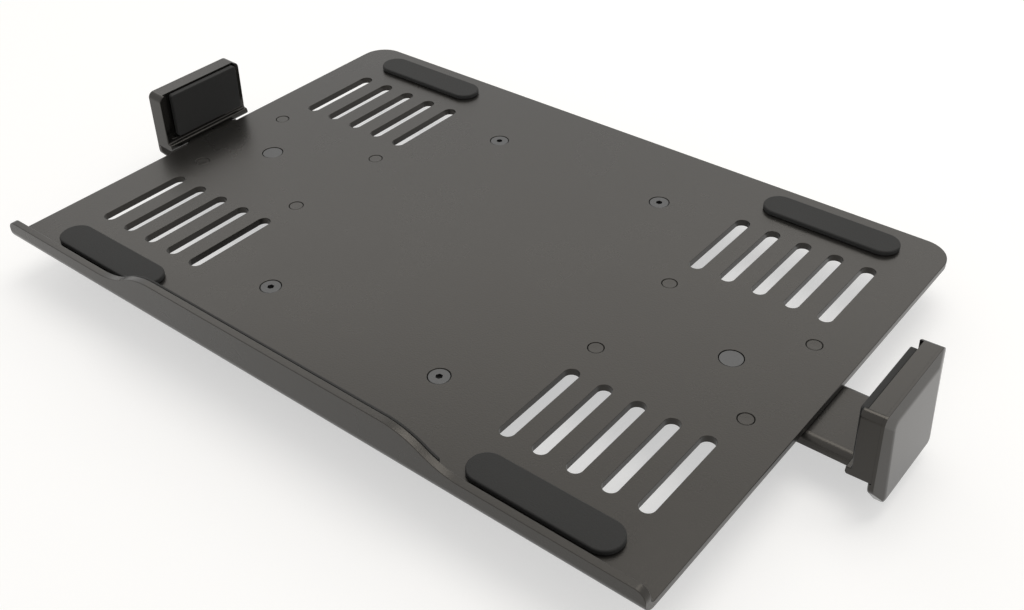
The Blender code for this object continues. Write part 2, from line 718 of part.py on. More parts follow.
def knob_body():
    """A lobed grip under a round hub."""
    steps = KNOB_LOBES * 6
    body_top = KNOB_TOP - KNOB_HUB_HEIGHT
    rings = []
    for inset, height in (
        (KNOB_EDGE, KNOB_FLOOR),
        (KNOB_EDGE * 0.3, KNOB_FLOOR + KNOB_EDGE * 0.3),
        (0, KNOB_FLOOR + KNOB_EDGE),
        (0, body_top - KNOB_EDGE),
        (KNOB_EDGE * 0.3, body_top - KNOB_EDGE * 0.3),
        (KNOB_EDGE, body_top),
    ):
        ring = []
        for i in range(steps):
            angle = math.tau * i / steps
            wave = (1 - math.cos(KNOB_LOBES * angle)) / 2
            radius = KNOB_SIZE / 2 - inset - KNOB_LOBE_DEPTH * wave
            ring.append((radius * math.cos(angle), radius * math.sin(angle), height))
        rings.append(ring)
    for height in (body_top, KNOB_TOP):
        angles = [math.tau * i / steps for i in range(steps)]
        radius = KNOB_HUB / 2
        rings.append([(radius * math.cos(a), radius * math.sin(a), height) for a in angles])
    return loft(rings)


def jaw_screw_tools(radius, low, high):
    """Round bars along the jaw's depth at its two screws."""
    tools = []
    for y in (-JAW_SCREW_SPREAD / 2, JAW_SCREW_SPREAD / 2):
        bar = turned(((0, low), (radius, low), (radius, high), (0, high)), steps=SMALL_ROUND_STEPS)
        bar.transform(Matrix.Translation((0, y, JAW_SCREW_HEIGHT)) @ Matrix.Rotation(math.pi / 2, 4, "Y"))
        tools.append(bar)
    return tools


def neck_passage(height):
    """The opening that the arm's neck takes up through body and cover lip."""
    half = NECK_WIDTH / 2 + RUN
    low = -JAW_FOOT - ARM_SHEET - CUT_MARGIN
    outline = rounded_box((-half, low), (half, height), (0, 0, 0, 0))
    return prism(outline, "X", -JAW_DEPTH - JAW_TOE - CUT_MARGIN, GAP / 2)


def make_jaw_body(side, frame, material):
    """The moulded jaw: back, two cheeks that hold the pad's ends, and toes that point under the tray."""
    half = JAW_WIDTH / 2
    toe = -JAW_DEPTH - JAW_TOE
    shelf = JAW_TOE_HEIGHT - JAW_FOOT
    profile = [
        *arc((toe + JAW_TOE * 0.8, -JAW_FOOT + JAW_TOE * 0.8), JAW_TOE * 0.8, 180, 270, 4),
        (0, -JAW_FOOT),
        (0, JAW_TOP),
        (-JAW_DEPTH, JAW_TOP),
        (-JAW_DEPTH, shelf),
        *arc((toe + JAW_TOE / 3, shelf - JAW_TOE / 3), JAW_TOE / 3, 90, 180, 3),
    ]
    bm = prism(profile, "Y", -half - CUT_MARGIN, half + CUT_MARGIN)
    body = piece(f"{side}_jaw_body", bm, material, frame)
    lower, upper = JAW_FOOT_CORNER, JAW_TOP_CORNER
    outline = rounded_box((-half, -JAW_FOOT), (half, JAW_TOP), (lower, lower, upper, upper))
    combine(body, prism(outline, "X", toe - CUT_MARGIN, CUT_MARGIN), "INTERSECT")

    bed_low = (-half + CHEEK_WALL, PAD_BED)
    bed_high = (half - CHEEK_WALL, JAW_TOP + CUT_MARGIN)
    bed = prism(rounded_box(bed_low, bed_high, (0.001, 0.001, 0, 0)), "X", -JAW_DEPTH - CUT_MARGIN, -JAW_BACK)
    combine(body, bed)
    neck = NECK_WIDTH / 2 + RUN
    back = rounded_box((-neck, -JAW_FOOT - CUT_MARGIN), (neck, UPRIGHT_TOP + RUN), (0, 0, 0, 0))
    combine(body, prism(back, "X", -ARM_SHEET - GAP, CUT_MARGIN))
    combine(body, neck_passage(-(TRAY_TOP - HANG) + 2 * RUN))
    combine(body, gathered(*jaw_screw_tools(JAW_SCREW_SIZE / 2 + GAP, -JAW_BACK - CUT_MARGIN, CUT_MARGIN)))
    floor = -JAW_BACK + JAW_SCREW_HEAD_HEIGHT + GAP
    heads = jaw_screw_tools(JAW_SCREW_HEAD / 2 + GAP, -JAW_BACK - CUT_MARGIN, floor)
    combine(body, gathered(*heads))


def cover_outline(edge, high, upper):
    """The cover's outline, set in by edge: lower corners cut off, upper ones rounded with a radius."""
    half = JAW_WIDTH / 2 - edge
    low = -COVER_DROP + edge
    side = low + COVER_CUT_HEIGHT
    bottom = half - COVER_CUT_WIDTH
    corners = [(-half, high), (-half, side), (-bottom, low), (bottom, low), (half, side), (half, high)]
    outline = []
    for before, corner, after in zip(corners, corners[1:], corners[2:]):
        outline += fillet(before, corner, after, COVER_CUT_RADIUS, CORNER_STEPS // 2)
    if upper == 0:
        return outline + [corners[-1], corners[0]]
    outline += fillet(corners[-2], corners[-1], corners[0], upper, CORNER_STEPS)
    return outline + fillet(corners[-1], corners[0], corners[1], upper, CORNER_STEPS)


def make_jaw_cover(side, frame, material):
    """The pillow-shaped cover, deeper at its lower end, with wide bevels and a lip under the body."""
    half = JAW_WIDTH / 2
    rim = cover_outline(0, JAW_TOP, JAW_TOP_CORNER)
    side_edge = half - COVER_BEVEL_SIDE
    bottom = -COVER_DROP + COVER_BEVEL_LOWER
    top = JAW_TOP - COVER_BEVEL_UPPER
    lower_corner, upper_corner = COVER_FLAT_LOWER_CORNER, COVER_FLAT_UPPER_CORNER
    corners = (lower_corner, lower_corner, upper_corner, upper_corner)
    flat = rounded_box((-side_edge, bottom), (side_edge, top), corners)
    slope = (COVER_DEPTH_LOWER - COVER_DEPTH_UPPER) / (top - bottom)
    rings = [[(GAP + depth, a, b) for a, b in rim] for depth in (0, COVER_SIDE)]
    rings.append([(GAP + COVER_DEPTH_UPPER + slope * (top - b), a, b) for a, b in flat])
    cover = piece(f"{side}_jaw_cover", loft(rings), material, frame)

    inset = COVER_LIP * 0.7
    rings = []
    for depth, edge in ((-COVER_LIP, inset), (-COVER_LIP + inset, 0), (GAP + COVER_SIDE / 2, 0)):
        outline = cover_outline(edge, -JAW_FOOT - GAP, 0)
        rings.append([(depth, a, b) for a, b in outline])
    combine(cover, loft(rings), "UNION")
    combine(cover, neck_passage(-JAW_FOOT + CUT_MARGIN))
    bores = jaw_screw_tools(JAW_SCREW_SIZE / 2 + GAP, -CUT_MARGIN, 2 * GAP + JAW_SCREW_BITE)
    combine(cover, gathered(*bores))


def make_jaw_pad(side, frame, material):
    """The soft pad between the cheeks, set against the nearer one."""
    back = -JAW_BACK - GAP
    start = -JAW_WIDTH / 2 + CHEEK_WALL + GAP
    low = (start, PAD_BED + GAP)
    high = (start + PAD_LENGTH, PAD_BED + GAP + PAD_HEIGHT)
    edge = PAD_THICKNESS / 4
    rings = []
    for depth, inset in ((0, 0), (PAD_THICKNESS - edge, 0), (PAD_THICKNESS, edge)):
        inner_low = (low[0] + inset, low[1] + inset)
        inner_high = (high[0] - inset, high[1] - inset)
        outline = rounded_box(inner_low, inner_high, [2 * edge] * 4, 3)
        rings.append([(back - depth, a, b) for a, b in outline])
    piece(f"{side}_jaw_pad", loft(rings), material, frame)


def make_jaw_screws(side, frame, material):
    """Two screws that clamp body, arm and cover together."""
    head_low = -JAW_BACK + GAP / 2
    tip = GAP + JAW_SCREW_BITE
    shank = JAW_SCREW_SIZE / 2
    head = JAW_SCREW_HEAD / 2
    neck = head_low + JAW_SCREW_HEAD_HEIGHT
    profile = ((0, head_low), (head, head_low), (head, neck), (shank, neck), (shank, tip), (0, tip))
    for i, y in enumerate((-JAW_SCREW_SPREAD / 2, JAW_SCREW_SPREAD / 2), 1):
        bm = turned(profile, steps=SMALL_ROUND_STEPS)
        bm.transform(Matrix.Translation((0, y, JAW_SCREW_HEIGHT)) @ Matrix.Rotation(math.pi / 2, 4, "Y"))
        piece(f"{side}_jaw_screw_{i}", bm, material, frame)


def make_side(side, turn, reach, materials):
    """One side: what is fixed under the tray, the arm that slides in it, and the jaw."""
    fixed = frame_empty(f"{side}_fixed_frame", (0, 0, 0), (0, 0, turn))
    slide = frame_empty(f"{side}_slide_frame", (reach, 0, 0), (0, 0, 0), fixed)
    knob = frame_empty(f"{side}_knob_frame", (STUD_X, 0, 0), (0, 0, 0), fixed)
    jaw = frame_empty(f"{side}_jaw_frame", (SEAM_CLOSED, 0, TRAY_TOP), (0, -JAW_LEAN, 0), slide)
    make_channel(side, fixed, materials["coated"], materials["liner"])
    make_rivets(side, fixed, materials["coated"])
    make_lock(side, fixed, knob, materials)
    make_arm(side, slide, materials["coated"])
    make_jaw_body(side, jaw, materials["moulded"])
    make_jaw_cover(side, jaw, materials["moulded"])
    make_jaw_pad(side, jaw, materials["soft"])
    make_jaw_screws(side, jaw, materials["plated"])


def main():
    for obj in list(bpy.data.objects):
        bpy.data.objects.remove(obj, do_unlink=True)
    materials = {
        "coated": colour_material("coated_steel", (0.045, 0.043, 0.040), 0.5),
        "moulded": colour_material("moulded_plastic", (0.060, 0.058, 0.055), 0.45),
        "soft": colour_material("soft_rubber", (0.035, 0.035, 0.035), 0.8),
        "liner": colour_material("liner_plastic", (0.55, 0.55, 0.52), 0.5),
        "plated": colour_material("black_plated_steel", (0.08, 0.08, 0.08), 0.4, 0.9),
        "brass": colour_material("brass", (0.60, 0.42, 0.16), 0.35, 1.0),
    }
    make_tray(materials["coated"])
    make_lip_pad(materials["soft"])
    make_floor_pads(materials["soft"])
    make_bracket(materials["coated"])
    make_bracket_fasteners(materials["plated"], materials["plated"])
    make_side("right", 0, RIGHT_REACH, materials)
    make_side("left", math.pi, LEFT_REACH, materials)


main()
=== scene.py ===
"""Looks of the laptop tray mount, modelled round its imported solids.

Metres, X to the right, Y to the back, Z up from the bracket's mounting face. Each sheet piece is
a bent line that is drawn out and thickened, then cut and rounded. Each moulding is drawn out or
bridged from its outlines, then cut and rounded. Screws, rivets, studs and washers are turned.
The right side is modelled in place, and the left side is the same piece turned half round.
"""

import math

import bmesh
import bpy
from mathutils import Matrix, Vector


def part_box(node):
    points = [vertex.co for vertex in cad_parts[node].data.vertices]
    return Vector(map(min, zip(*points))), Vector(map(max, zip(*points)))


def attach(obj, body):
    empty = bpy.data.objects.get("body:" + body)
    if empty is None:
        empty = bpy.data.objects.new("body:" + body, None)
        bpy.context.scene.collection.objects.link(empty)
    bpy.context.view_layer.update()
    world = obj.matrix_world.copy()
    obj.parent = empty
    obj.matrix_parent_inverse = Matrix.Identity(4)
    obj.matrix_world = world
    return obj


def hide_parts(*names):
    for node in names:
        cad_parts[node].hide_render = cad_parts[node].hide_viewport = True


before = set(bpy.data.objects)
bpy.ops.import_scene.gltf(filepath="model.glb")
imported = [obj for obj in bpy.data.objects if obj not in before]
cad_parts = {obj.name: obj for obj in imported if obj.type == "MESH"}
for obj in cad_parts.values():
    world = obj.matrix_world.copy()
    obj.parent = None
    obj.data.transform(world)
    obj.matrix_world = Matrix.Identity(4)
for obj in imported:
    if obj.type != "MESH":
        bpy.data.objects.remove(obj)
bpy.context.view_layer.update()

# Places read from the frame
TRAY_LOW, TRAY_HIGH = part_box("tray")
BRACKET_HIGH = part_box("mount_bracket")[1]
CHANNEL_LOW, CHANNEL_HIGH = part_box("right_channel")
ARM_LOW, ARM_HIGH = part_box("right_arm")
STUD_LOW, STUD_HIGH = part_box("right_lock_stud")
KNOB_LOW, KNOB_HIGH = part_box("right_lock_knob")
INSERT_LOW, INSERT_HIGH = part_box("right_knob_insert")
WASHER_LOW, WASHER_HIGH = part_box("right_lock_washer")

# Gaps that the solids keep
GAP = 0.0003  # between parts that are fixed together
RUN = 0.0005  # between parts that slide or turn

# Help with cutting and selecting
SPARE = 0.002  # by which a cutter runs past what it cuts
HAIR = 0.00003  # that keeps two faces out of one plane
CLOSE = 0.00001  # within which a point counts as in its place
MERGE = 0.000001  # points nearer than this become one
IN_LINE = 0.999  # share of an edge's length that lies along an axis
SHARP_EDGE = math.radians(30)  # between two faces
STEEP_EDGE = math.radians(50)
FLAT_ENOUGH = math.radians(0.2)  # for neighbouring faces to become one
SMOOTH_ANGLE = math.radians(35)  # up to which an edge is shaded smooth
NUT_SMOOTH_ANGLE = math.radians(25)

# Tray
SHEET = 0.003
FLOOR = TRAY_LOW.z + SHEET
BEND = 0.0023
REAR_CORNER = 0.012
LIP_LOW = 0.0069  # its ends above the floor
LIP_HIGH = TRAY_HIGH.z - FLOOR
LIP_RAISED = 0.1523  # from the middle of one ogee to the other's
LIP_OFFSET = -0.0037  # of the raised stretch's middle
OGEE_RUN = 0.034
LIP_END_RADIUS = 0.004
LIP_PAD_THICKNESS = 0.001
LIP_PAD_OVERRUN = 0.005  # past the middle of each ogee
FLOOR_PAD_SIZE = (0.060, 0.014, 0.002)
FLOOR_PAD_EDGE = FLOOR_PAD_SIZE[2] / 3
FLOOR_PAD_PLACE = (0.1105, 0.097)
HANG = TRAY_LOW.z - GAP  # the top of what lies under the tray

# Roundings of edges
SHEET_EDGE = 0.00045
OUTLINE_EDGE = 0.0009  # round the whole tray, the lip's crest included
FOAM_EDGE = 0.0003
SMALL_EDGE = 0.0002
JAW_EDGE = 0.0005  # of the jaw's front, with the cheeks and toes
MOUTH_EDGE = 0.0004  # of the bed in which a jaw's pad lies
PAD_EDGE = 0.0004
PILLOW_EDGE = 0.0009  # at the rim of the cover's flat face
RIM_EDGE = 0.0005  # round the cover's outline

# Vents, in four fields
VENT_SIZE = (0.006, 0.042)
VENT_FIRST = 0.08075
VENT_PITCH = 0.014
VENT_COUNT = 5  # in each field
VENT_MIDDLE = 0.0598

# Mount bracket
BRACKET_SHEET = 0.0025
BRACKET_BASE = 0.124
BRACKET_BEND = 0.002
BRACKET_CORNER = 0.006
HOLE_SQUARES = (0.075, 0.100)
PLATE_HOLE = 0.0045
BRACKET_SCREW_PLACES = [(x, y) for x in (-0.044, 0.044) for y in (-0.071, 0.071)]
SCREW_SHANK = 0.004
SCREW_HEAD = 0.0082
SCREW_LENGTH = 0.0115
SCREW_PITCH = 0.0007
SCREW_SOCKET = 0.0025
SOCKET_DEPTH = 0.0014
TIP_SHARE = 0.8  # of the radius that is left at the tip of a screw or stud
THREAD_DEPTH = 0.5  # a ridge's form, in shares of the pitch
THREAD_ROOT = 0.1
THREAD_CREST = 0.5
NUT_ACROSS_FLATS = 0.007
NUT_HEIGHT = 0.004
NUT_SLANT = 0.6  # height of a corner's chamfer by its width

# Channels, arms and locks
CHANNEL_SHEET = 0.0015
CHANNEL_FLANGE = 0.010
CHANNEL_BEND = 0.0008
LINER_WALL = 0.001
LINER_SETBACK = 0.001
RIVET_PLACES = [(x, y) for x in (0.079, 0.141) for y in (-0.0246, 0.0246)]
RIVET_SHANK = 0.0032
RIVET_HEAD = 0.0058
RIVET_SINK = 0.5  # share of the head's radius from which its middle sinks
RIVET_TAIL = (0.0048, 0.0014)  # diameter and height
RIVET_TAIL_RADIUS = RIVET_TAIL[1] * 0.6
ARM_SHEET = 0.0022
ARM_HEIGHT = 0.0046
ARM_BEND = 0.001
NECK_WIDTH = 0.026
NECK_OVERLAP = NECK_WIDTH / 4  # with the arm
NECK_BEND = 0.0012
UPRIGHT_TOP = 0.014  # above the floor
STUD_X = (STUD_LOW.x + STUD_HIGH.x) / 2
STUD_SIZE = 0.006
STUD_PITCH = 0.001
STUD_HEAD_HEIGHT = 0.0012
INSERT_SIZE = 0.0096
KNOB_HUB = (0.017, 0.002)  # diameter and height
KNOB_LOBES = 7
KNOB_EDGE = 0.0012
KNOB_DISH = (0.62, 0.0006)  # its share of the knob's radius, and its depth
LOBE = (1.1021, 0.0045)  # a corner's place as a share of the knob's radius, and its rounding
HOLLOW = (0.8708, 0.0045)
TRAVEL = 0.052  # of each jaw

# Jaws, in the jaw's own frame: x from the seam, z from the tray's floor
RIGHT_SEAM = 0.1861  # between body and cover, at the tray's floor
LEFT_SEAM = -0.1745
RIGHT_REACH = 0.0174  # of the right jaw from its closed place
SIDE_SHIFT = RIGHT_SEAM + LEFT_SEAM  # of the left jaw, once the right one is turned half round
JAW_LEAN = math.radians(2.1)
JAW_WIDTH = 0.0468
JAW_TOP = 0.0236
JAW_BACK = 0.0057
JAW_CHEEK = 0.0015
CHEEK_WALL = 0.0026
JAW_FOOT = 0.0042
JAW_TOE = 0.002
JAW_TOE_HEIGHT = 0.0033
CHEEK_X = -JAW_BACK - JAW_CHEEK
TOE_X = CHEEK_X - JAW_TOE
TOE_TOP_RADIUS = JAW_TOE / 3
TOE_SOLE_RADIUS = JAW_TOE * 0.8
JAW_CORNER = 0.0028
JAW_FOOT_CORNER = 0.0006
COVER_DROP = 0.0175  # below the tray's floor
COVER_SIDE = 0.0008  # depth of the straight side
COVER_DEPTH = (0.0023, 0.0034)  # at the flat face's upper and lower edge
COVER_BEVEL = (0.0046, 0.0055, 0.0033)  # above, beside and below the flat face
COVER_CUT = (0.0078, 0.0098, 0.004)  # width, height and rounding of the cut lower corners
COVER_FLAT_CORNERS = (0.0022, 0.0022, 0.003, 0.003)  # two below and two above
COVER_LIP = 0.0012  # that reaches under the body
COVER_LIP_EDGE = COVER_LIP * 0.7
COVER_NOTCH = 0.001  # below the arm's sheet
PAD_BED = 0.001
PAD_BED_CORNER = 0.001
PAD_SIZE = (0.038, 0.0215, 0.0025)  # length, height and thickness
JAW_SCREW_Y = 0.009
JAW_SCREW_HEIGHT = 0.0085
JAW_SCREW_SIZE = 0.003
JAW_SCREW_HEAD = (0.0054, 0.0013)  # diameter and height
JAW_SCREW_BITE = 0.0016  # into the cover
JAW_SCREW_SOCKET = 0.0015
JAW_SOCKET_DEPTH = JAW_SCREW_HEAD[1] * 0.7

# Camera, solved from the photograph's perspective
CAMERA_PLACE = (0.2678, -0.3004, 0.2990)
CAMERA_TURN = (52.374, 1.1562, 38.6644)
CAMERA_LENS = 41.867

# Facets
ARC_ANGLE = math.radians(7.5)  # of one facet, at most
ARC_CHORD = 0.0015  # along one facet, at most
SPIN_STEPS = 48
SMALL_STEPS = 32  # of screws, rivets and the holes for them
KNOB_STEPS = 12 * KNOB_LOBES
MOUTH_STEPS = 4

# Axes about which a spin turns to the left in each drawing plane
AXIS_OF = {"XZ": (0, 1, 0), "YZ": (-1, 0, 0), "XY": (0, 0, -1)}


def in_space(plane, a, b, c=0.0):
    """A point of a drawing plane, a and b in it and c across it."""
    return Vector({"XZ": (a, c, b), "YZ": (c, a, b), "XY": (a, b, c)}[plane])


# Modelling by hand


def activate(obj):
    """Leaves obj as the only selected object."""
    if bpy.context.object and bpy.context.object.mode != "OBJECT":
        bpy.ops.object.mode_set(mode="OBJECT")
    bpy.ops.object.select_all(action="DESELECT")
    obj.select_set(True)
    bpy.context.view_layer.objects.active = obj


def edit(obj, mode="FACE", test=None):
    """Goes into edit mode, with all selected, or only what the test takes."""
    activate(obj)
    bpy.ops.object.mode_set(mode="EDIT")
    bpy.ops.mesh.select_mode(type=mode)
    if test is None:
        bpy.ops.mesh.select_all(action="SELECT")
        return
    bpy.ops.mesh.select_all(action="DESELECT")
    bm = bmesh.from_edit_mesh(obj.data)
    for item in {"VERT": bm.verts, "EDGE": bm.edges, "FACE": bm.faces}[mode]:
        if test(item):
            item.select_set(True)
    bm.select_flush_mode()
    bmesh.update_edit_mesh(obj.data)


def done():
    """Leaves edit mode."""
    bpy.ops.object.mode_set(mode="OBJECT")


def along(edge, axis):
    """Whether an edge runs along X, Y or Z."""
    step = edge.verts[1].co - edge.verts[0].co
    return abs(step["XYZ".index(axis)]) > IN_LINE * step.length


def applied(obj, kind, **settings):
    """Adds a modifier, sets it and applies it."""
    activate(obj)
    modifier = obj.modifiers.new(kind.title(), kind)
    for name, value in settings.items():
        setattr(modifier, name, value)
    bpy.ops.object.modifier_apply(modifier=modifier.name)
    return obj


def merged(obj):
    """Joins the points that a step left in one place."""
    edit(obj)
    bpy.ops.mesh.remove_doubles(threshold=MERGE)
    done()
    return obj


def tooled(obj, tool, operation="DIFFERENCE"):
    """Cuts the tool out of obj, or adds it on, or keeps what both share."""
    applied(obj, "BOOLEAN", operation=operation, solver="EXACT", object=tool)
    bpy.data.objects.remove(tool)
    return merged(obj)


def placed(obj, location=(0, 0, 0), turn=(0, 0, 0)):
    """Moves and turns obj, and writes its place into its mesh."""
    activate(obj)
    obj.location = location
    obj.rotation_euler = turn
    bpy.ops.object.transform_apply(location=True, rotation=True, scale=True)
    return obj


def copied(obj, location=(0, 0, 0), turn=(0, 0, 0)):
    """A copy with its own mesh, moved and turned."""
    activate(obj)
    bpy.ops.object.duplicate()
    return placed(bpy.context.object, location, turn)


def joined(objects):
    """One object that holds all of them."""
    activate(objects[0])
    for obj in objects[1:]:
        obj.select_set(True)
    bpy.ops.object.join()
    return objects[0]


def moves(corners, closed):
    """Straight runs and arcs through corners (a, b) or (a, b, radius), as (end, centre, angle)."""
    points = [Vector(c[:2]) for c in corners]
    radii = [c[2] if len(c) > 2 else 0 for c in corners]
    found = []
    count = len(points)
    for i in range(count) if closed else range(1, count - 1):
        before = (points[i] - points[i - 1]).normalized()
        after = (points[(i + 1) % count] - points[i]).normalized()
        turn = math.atan2(before.x * after.y - before.y * after.x, before.dot(after))
        reach = radii[i] * math.tan(abs(turn) / 2)
        start = points[i] - before * reach
        found.append((start, None, 0))
        if radii[i] > 0:
            side = math.copysign(radii[i], turn)
            centre = start + Vector((-before.y, before.x)) * side
            found.append((points[i] + after * reach, centre, turn))
    if not closed:
        found.append((points[-1], None, 0))
    return (found[-1][0] if closed else points[0]), found


def traced(plane, corners, across=0.0, closed=False):
    """Draws a line through the corners with an extruded and spun point, and fills it if closed."""
    if bpy.context.object and bpy.context.object.mode != "OBJECT":
        done()
    bpy.ops.object.select_all(action="DESELECT")
    bpy.ops.mesh.primitive_plane_add(size=SPARE)
    obj = bpy.context.object
    edit(obj, "VERT")
    bpy.ops.mesh.merge(type="CENTER")
    here, route = moves(corners, closed)
    bpy.ops.transform.translate(value=in_space(plane, *here, across))
    for end, centre, angle in route:
        if centre is None:
            if (end - here).length < MERGE:
                continue
            step = in_space(plane, *(end - here))
            bpy.ops.mesh.extrude_region_move(TRANSFORM_OT_translate={"value": step})
        else:
            length = abs(angle) * (end - centre).length
            steps = max(math.ceil(abs(angle) / ARC_ANGLE), math.ceil(length / ARC_CHORD))
            middle = in_space(plane, *centre, across)
            bpy.ops.mesh.spin(steps=steps, angle=angle, center=middle, axis=AXIS_OF[plane])
        here = end
    bpy.ops.mesh.select_all(action="SELECT")
    bpy.ops.mesh.remove_doubles(threshold=MERGE)
    if closed:
        bpy.ops.mesh.edge_face_add()
    done()
    return obj


def drawn_out(obj, step):
    """Extrudes a traced line or face along a step, into a strip or a closed body."""
    edit(obj, "VERT")
    bpy.ops.mesh.extrude_region_move(TRANSFORM_OT_translate={"value": step})
    bpy.ops.mesh.select_all(action="SELECT")
    bpy.ops.mesh.normals_make_consistent(inside=False)
    done()
    return obj


def block(plane, corners, low, high):
    """A closed outline drawn out across its plane."""
    return drawn_out(traced(plane, corners, low, closed=True), in_space(plane, 0, 0, high - low))


def folded(plane, corners, low, high, thickness):
    """A bent sheet from its middle line, drawn out across its plane and thickened."""
    obj = drawn_out(traced(plane, corners, low), in_space(plane, 0, 0, high - low))
    applied(obj, "SOLIDIFY", thickness=thickness, offset=0, use_even_offset=True)
    edit(obj)
    bpy.ops.mesh.normals_make_consistent(inside=False)
    done()
    return obj


def turned(profile, steps=SPIN_STEPS):
    """A half outline in X and Z, from axis to axis or closed, spun about the upright axis."""
    closed = profile[0][0] > MERGE
    obj = traced("XZ", profile, closed=closed)
    edit(obj, "VERT")
    if closed:
        bpy.ops.mesh.delete(type="ONLY_FACE")
        bpy.ops.mesh.select_all(action="SELECT")
    bpy.ops.mesh.spin(steps=steps, angle=math.tau, center=(0, 0, 0), axis=(0, 0, 1))
    bpy.ops.mesh.select_all(action="SELECT")
    bpy.ops.mesh.remove_doubles(threshold=MERGE)
    bpy.ops.mesh.normals_make_consistent(inside=False)
    done()
    return obj


def rectangle(low, high, radii=(0, 0, 0, 0)):
    """Corners of a rectangle with radii: left low, right low, right high, left high."""
    (a0, b0), (a1, b1) = low, high
    return [(a0, b0, radii[0]), (a1, b0, radii[1]), (a1, b1, radii[2]), (a0, b1, radii[3])]


def slot_block(centre, size, low, high):
    """A round-ended bar along Z."""
    radius = min(size) / 2
    corner_low = (centre[0] - size[0] / 2, centre[1] - size[1] / 2)
    corner_high = (centre[0] + size[0] / 2, centre[1] + size[1] / 2)
    return block("XY", rectangle(corner_low, corner_high, [radius] * 4), low, high)


def pin(centre, radius, low, high, steps=SPIN_STEPS):
    """A round bar along Z."""
    return placed(turned([(0, low), (radius, low), (radius, high), (0, high)], steps), (*centre, 0))


def hexagon_block(across_flats, low, high):
    """A six-sided bar along Z."""
    radius = across_flats / 2 / math.cos(math.pi / 6)
    corners = [(radius * math.cos(a), radius * math.sin(a)) for a in (i * math.pi / 3 for i in range(6))]
    return block("XY", corners, low, high)


def rounded(obj, width, segments=2):
    """Rounds every sharp edge."""
    applied(
        obj,
        "BEVEL",
        width=width,
        segments=segments,
        limit_method="ANGLE",
        angle_limit=SHARP_EDGE,
        miter_outer="MITER_ARC",
    )
    return merged(obj)


def rounded_where(obj, test, width, segments=4, clamped=False):
    """Rounds the edges that the test takes."""
    edit(obj, "EDGE", test)
    bpy.ops.mesh.bevel(offset=width, segments=segments, affect="EDGES", clamp_overlap=clamped)
    done()


def finished(obj, name, finish, slot, body, nodes, angle=SMOOTH_ANGLE):
    """Names a piece, shades it, gives it its finish and lets it ride on its body."""
    activate(obj)
    obj.name = name
    obj.data.name = name
    bpy.ops.object.shade_smooth_by_angle(angle=angle)
    applied(obj, "WEIGHTED_NORMAL", keep_sharp=True)
    obj.data.materials.clear()
    obj.data.materials.append(finish)
    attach(obj, body)
    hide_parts(*nodes)
    return obj


def both_sides(obj, name, finish, slot, body, node, shift=0.0):
    """The right-hand piece, and its copy turned half round for the left."""
    left = copied(obj, (shift, 0, 0), (0, 0, math.pi))
    for side, piece in (("right", obj), ("left", left)):
        carrier = body if body == "root" else f"{side}_{body}"
        finished(piece, f"{side}_{name}", finish, slot, carrier, [f"{side}_{node}"])
    return obj, left


# Finishes

MIX_FIRST, MIX_SECOND, MIX_RESULT = 6, 7, 2  # a Mix node's colour sockets
DRIFT_SCALE = 30.0
MARK_SCALE = 2200.0  # of the marks that turning leaves in metal
MARK_SHADE = 0.8
MARK_GLOSS = 0.15
MARK_DEPTH = 0.000004
WARM = (1.0, 0.94, 0.86, 1)  # of the black finishes' reflections


class Shade:
    """A shader socket that takes part in plain arithmetic."""

    def __init__(self, finish, socket):
        self.finish = finish
        self.socket = socket

    def worked_out(self, operation, first, second):
        """What one Math node gives."""
        made = self.finish.node("ShaderNodeMath", {"operation": operation}, {0: first, 1: second})
        return Shade(self.finish, made.outputs[0])

    def __add__(self, other):
        return self.worked_out("ADD", self, other)

    def __mul__(self, other):
        return self.worked_out("MULTIPLY", self, other)

    __radd__ = __add__
    __rmul__ = __mul__


class Finish:
    """The node tree of one material, or of the world, and ways to add to it."""

    def __init__(self, owner):
        owner.use_nodes = True
        self.owner = owner
        self.tree = owner.node_tree

    def node(self, kind, settings=None, sockets=None):
        """A new node, set first and then fed."""
        made = self.tree.nodes.new(kind)
        for name, value in (settings or {}).items():
            setattr(made, name, value)
        for name, value in (sockets or {}).items():
            self.feed(made.inputs[name], value)
        return made

    def feed(self, socket, value):
        """Links a shade or a socket, or sets a plain value."""
        if isinstance(value, Shade):
            self.tree.links.new(value.socket, socket)
        elif isinstance(value, bpy.types.NodeSocket):
            self.tree.links.new(value, socket)
        else:
            socket.default_value = value

    def shade(self, node, output):
        """A node's output, ready for arithmetic."""
        return Shade(self, node.outputs[output])

    def noise(self, scale, detail, roughness):
        """A pattern fixed to the piece, from 0 to 1."""
        place = self.node("ShaderNodeTexCoord").outputs["Object"]
        sockets = {"Vector": place, "Scale": scale, "Detail": detail, "Roughness": roughness}
        return self.shade(self.node("ShaderNodeTexNoise", {"noise_dimensions": "3D"}, sockets), "Fac")

    def mix(self, share, first, second):
        """A colour between two, by a share."""
        sockets = {"Factor": share, MIX_FIRST: first, MIX_SECOND: second}
        return self.node("ShaderNodeMix", {"data_type": "RGBA"}, sockets).outputs[MIX_RESULT]

    def bump(self, height, distance):
        """A relief of a height from 0 to 1 that rises by the distance."""
        sockets = {"Height": height, "Strength": 1.0, "Distance": distance}
        return self.node("ShaderNodeBump", sockets=sockets).outputs["Normal"]


def surface(name, **plain):
    """A material whose shader has these plain values."""
    finish = Finish(bpy.data.materials.new(name))
    finish.shader = finish.tree.nodes["Principled BSDF"]
    for socket, value in plain.items():
        finish.shader.inputs[socket.replace("_", " ")].default_value = value
    return finish


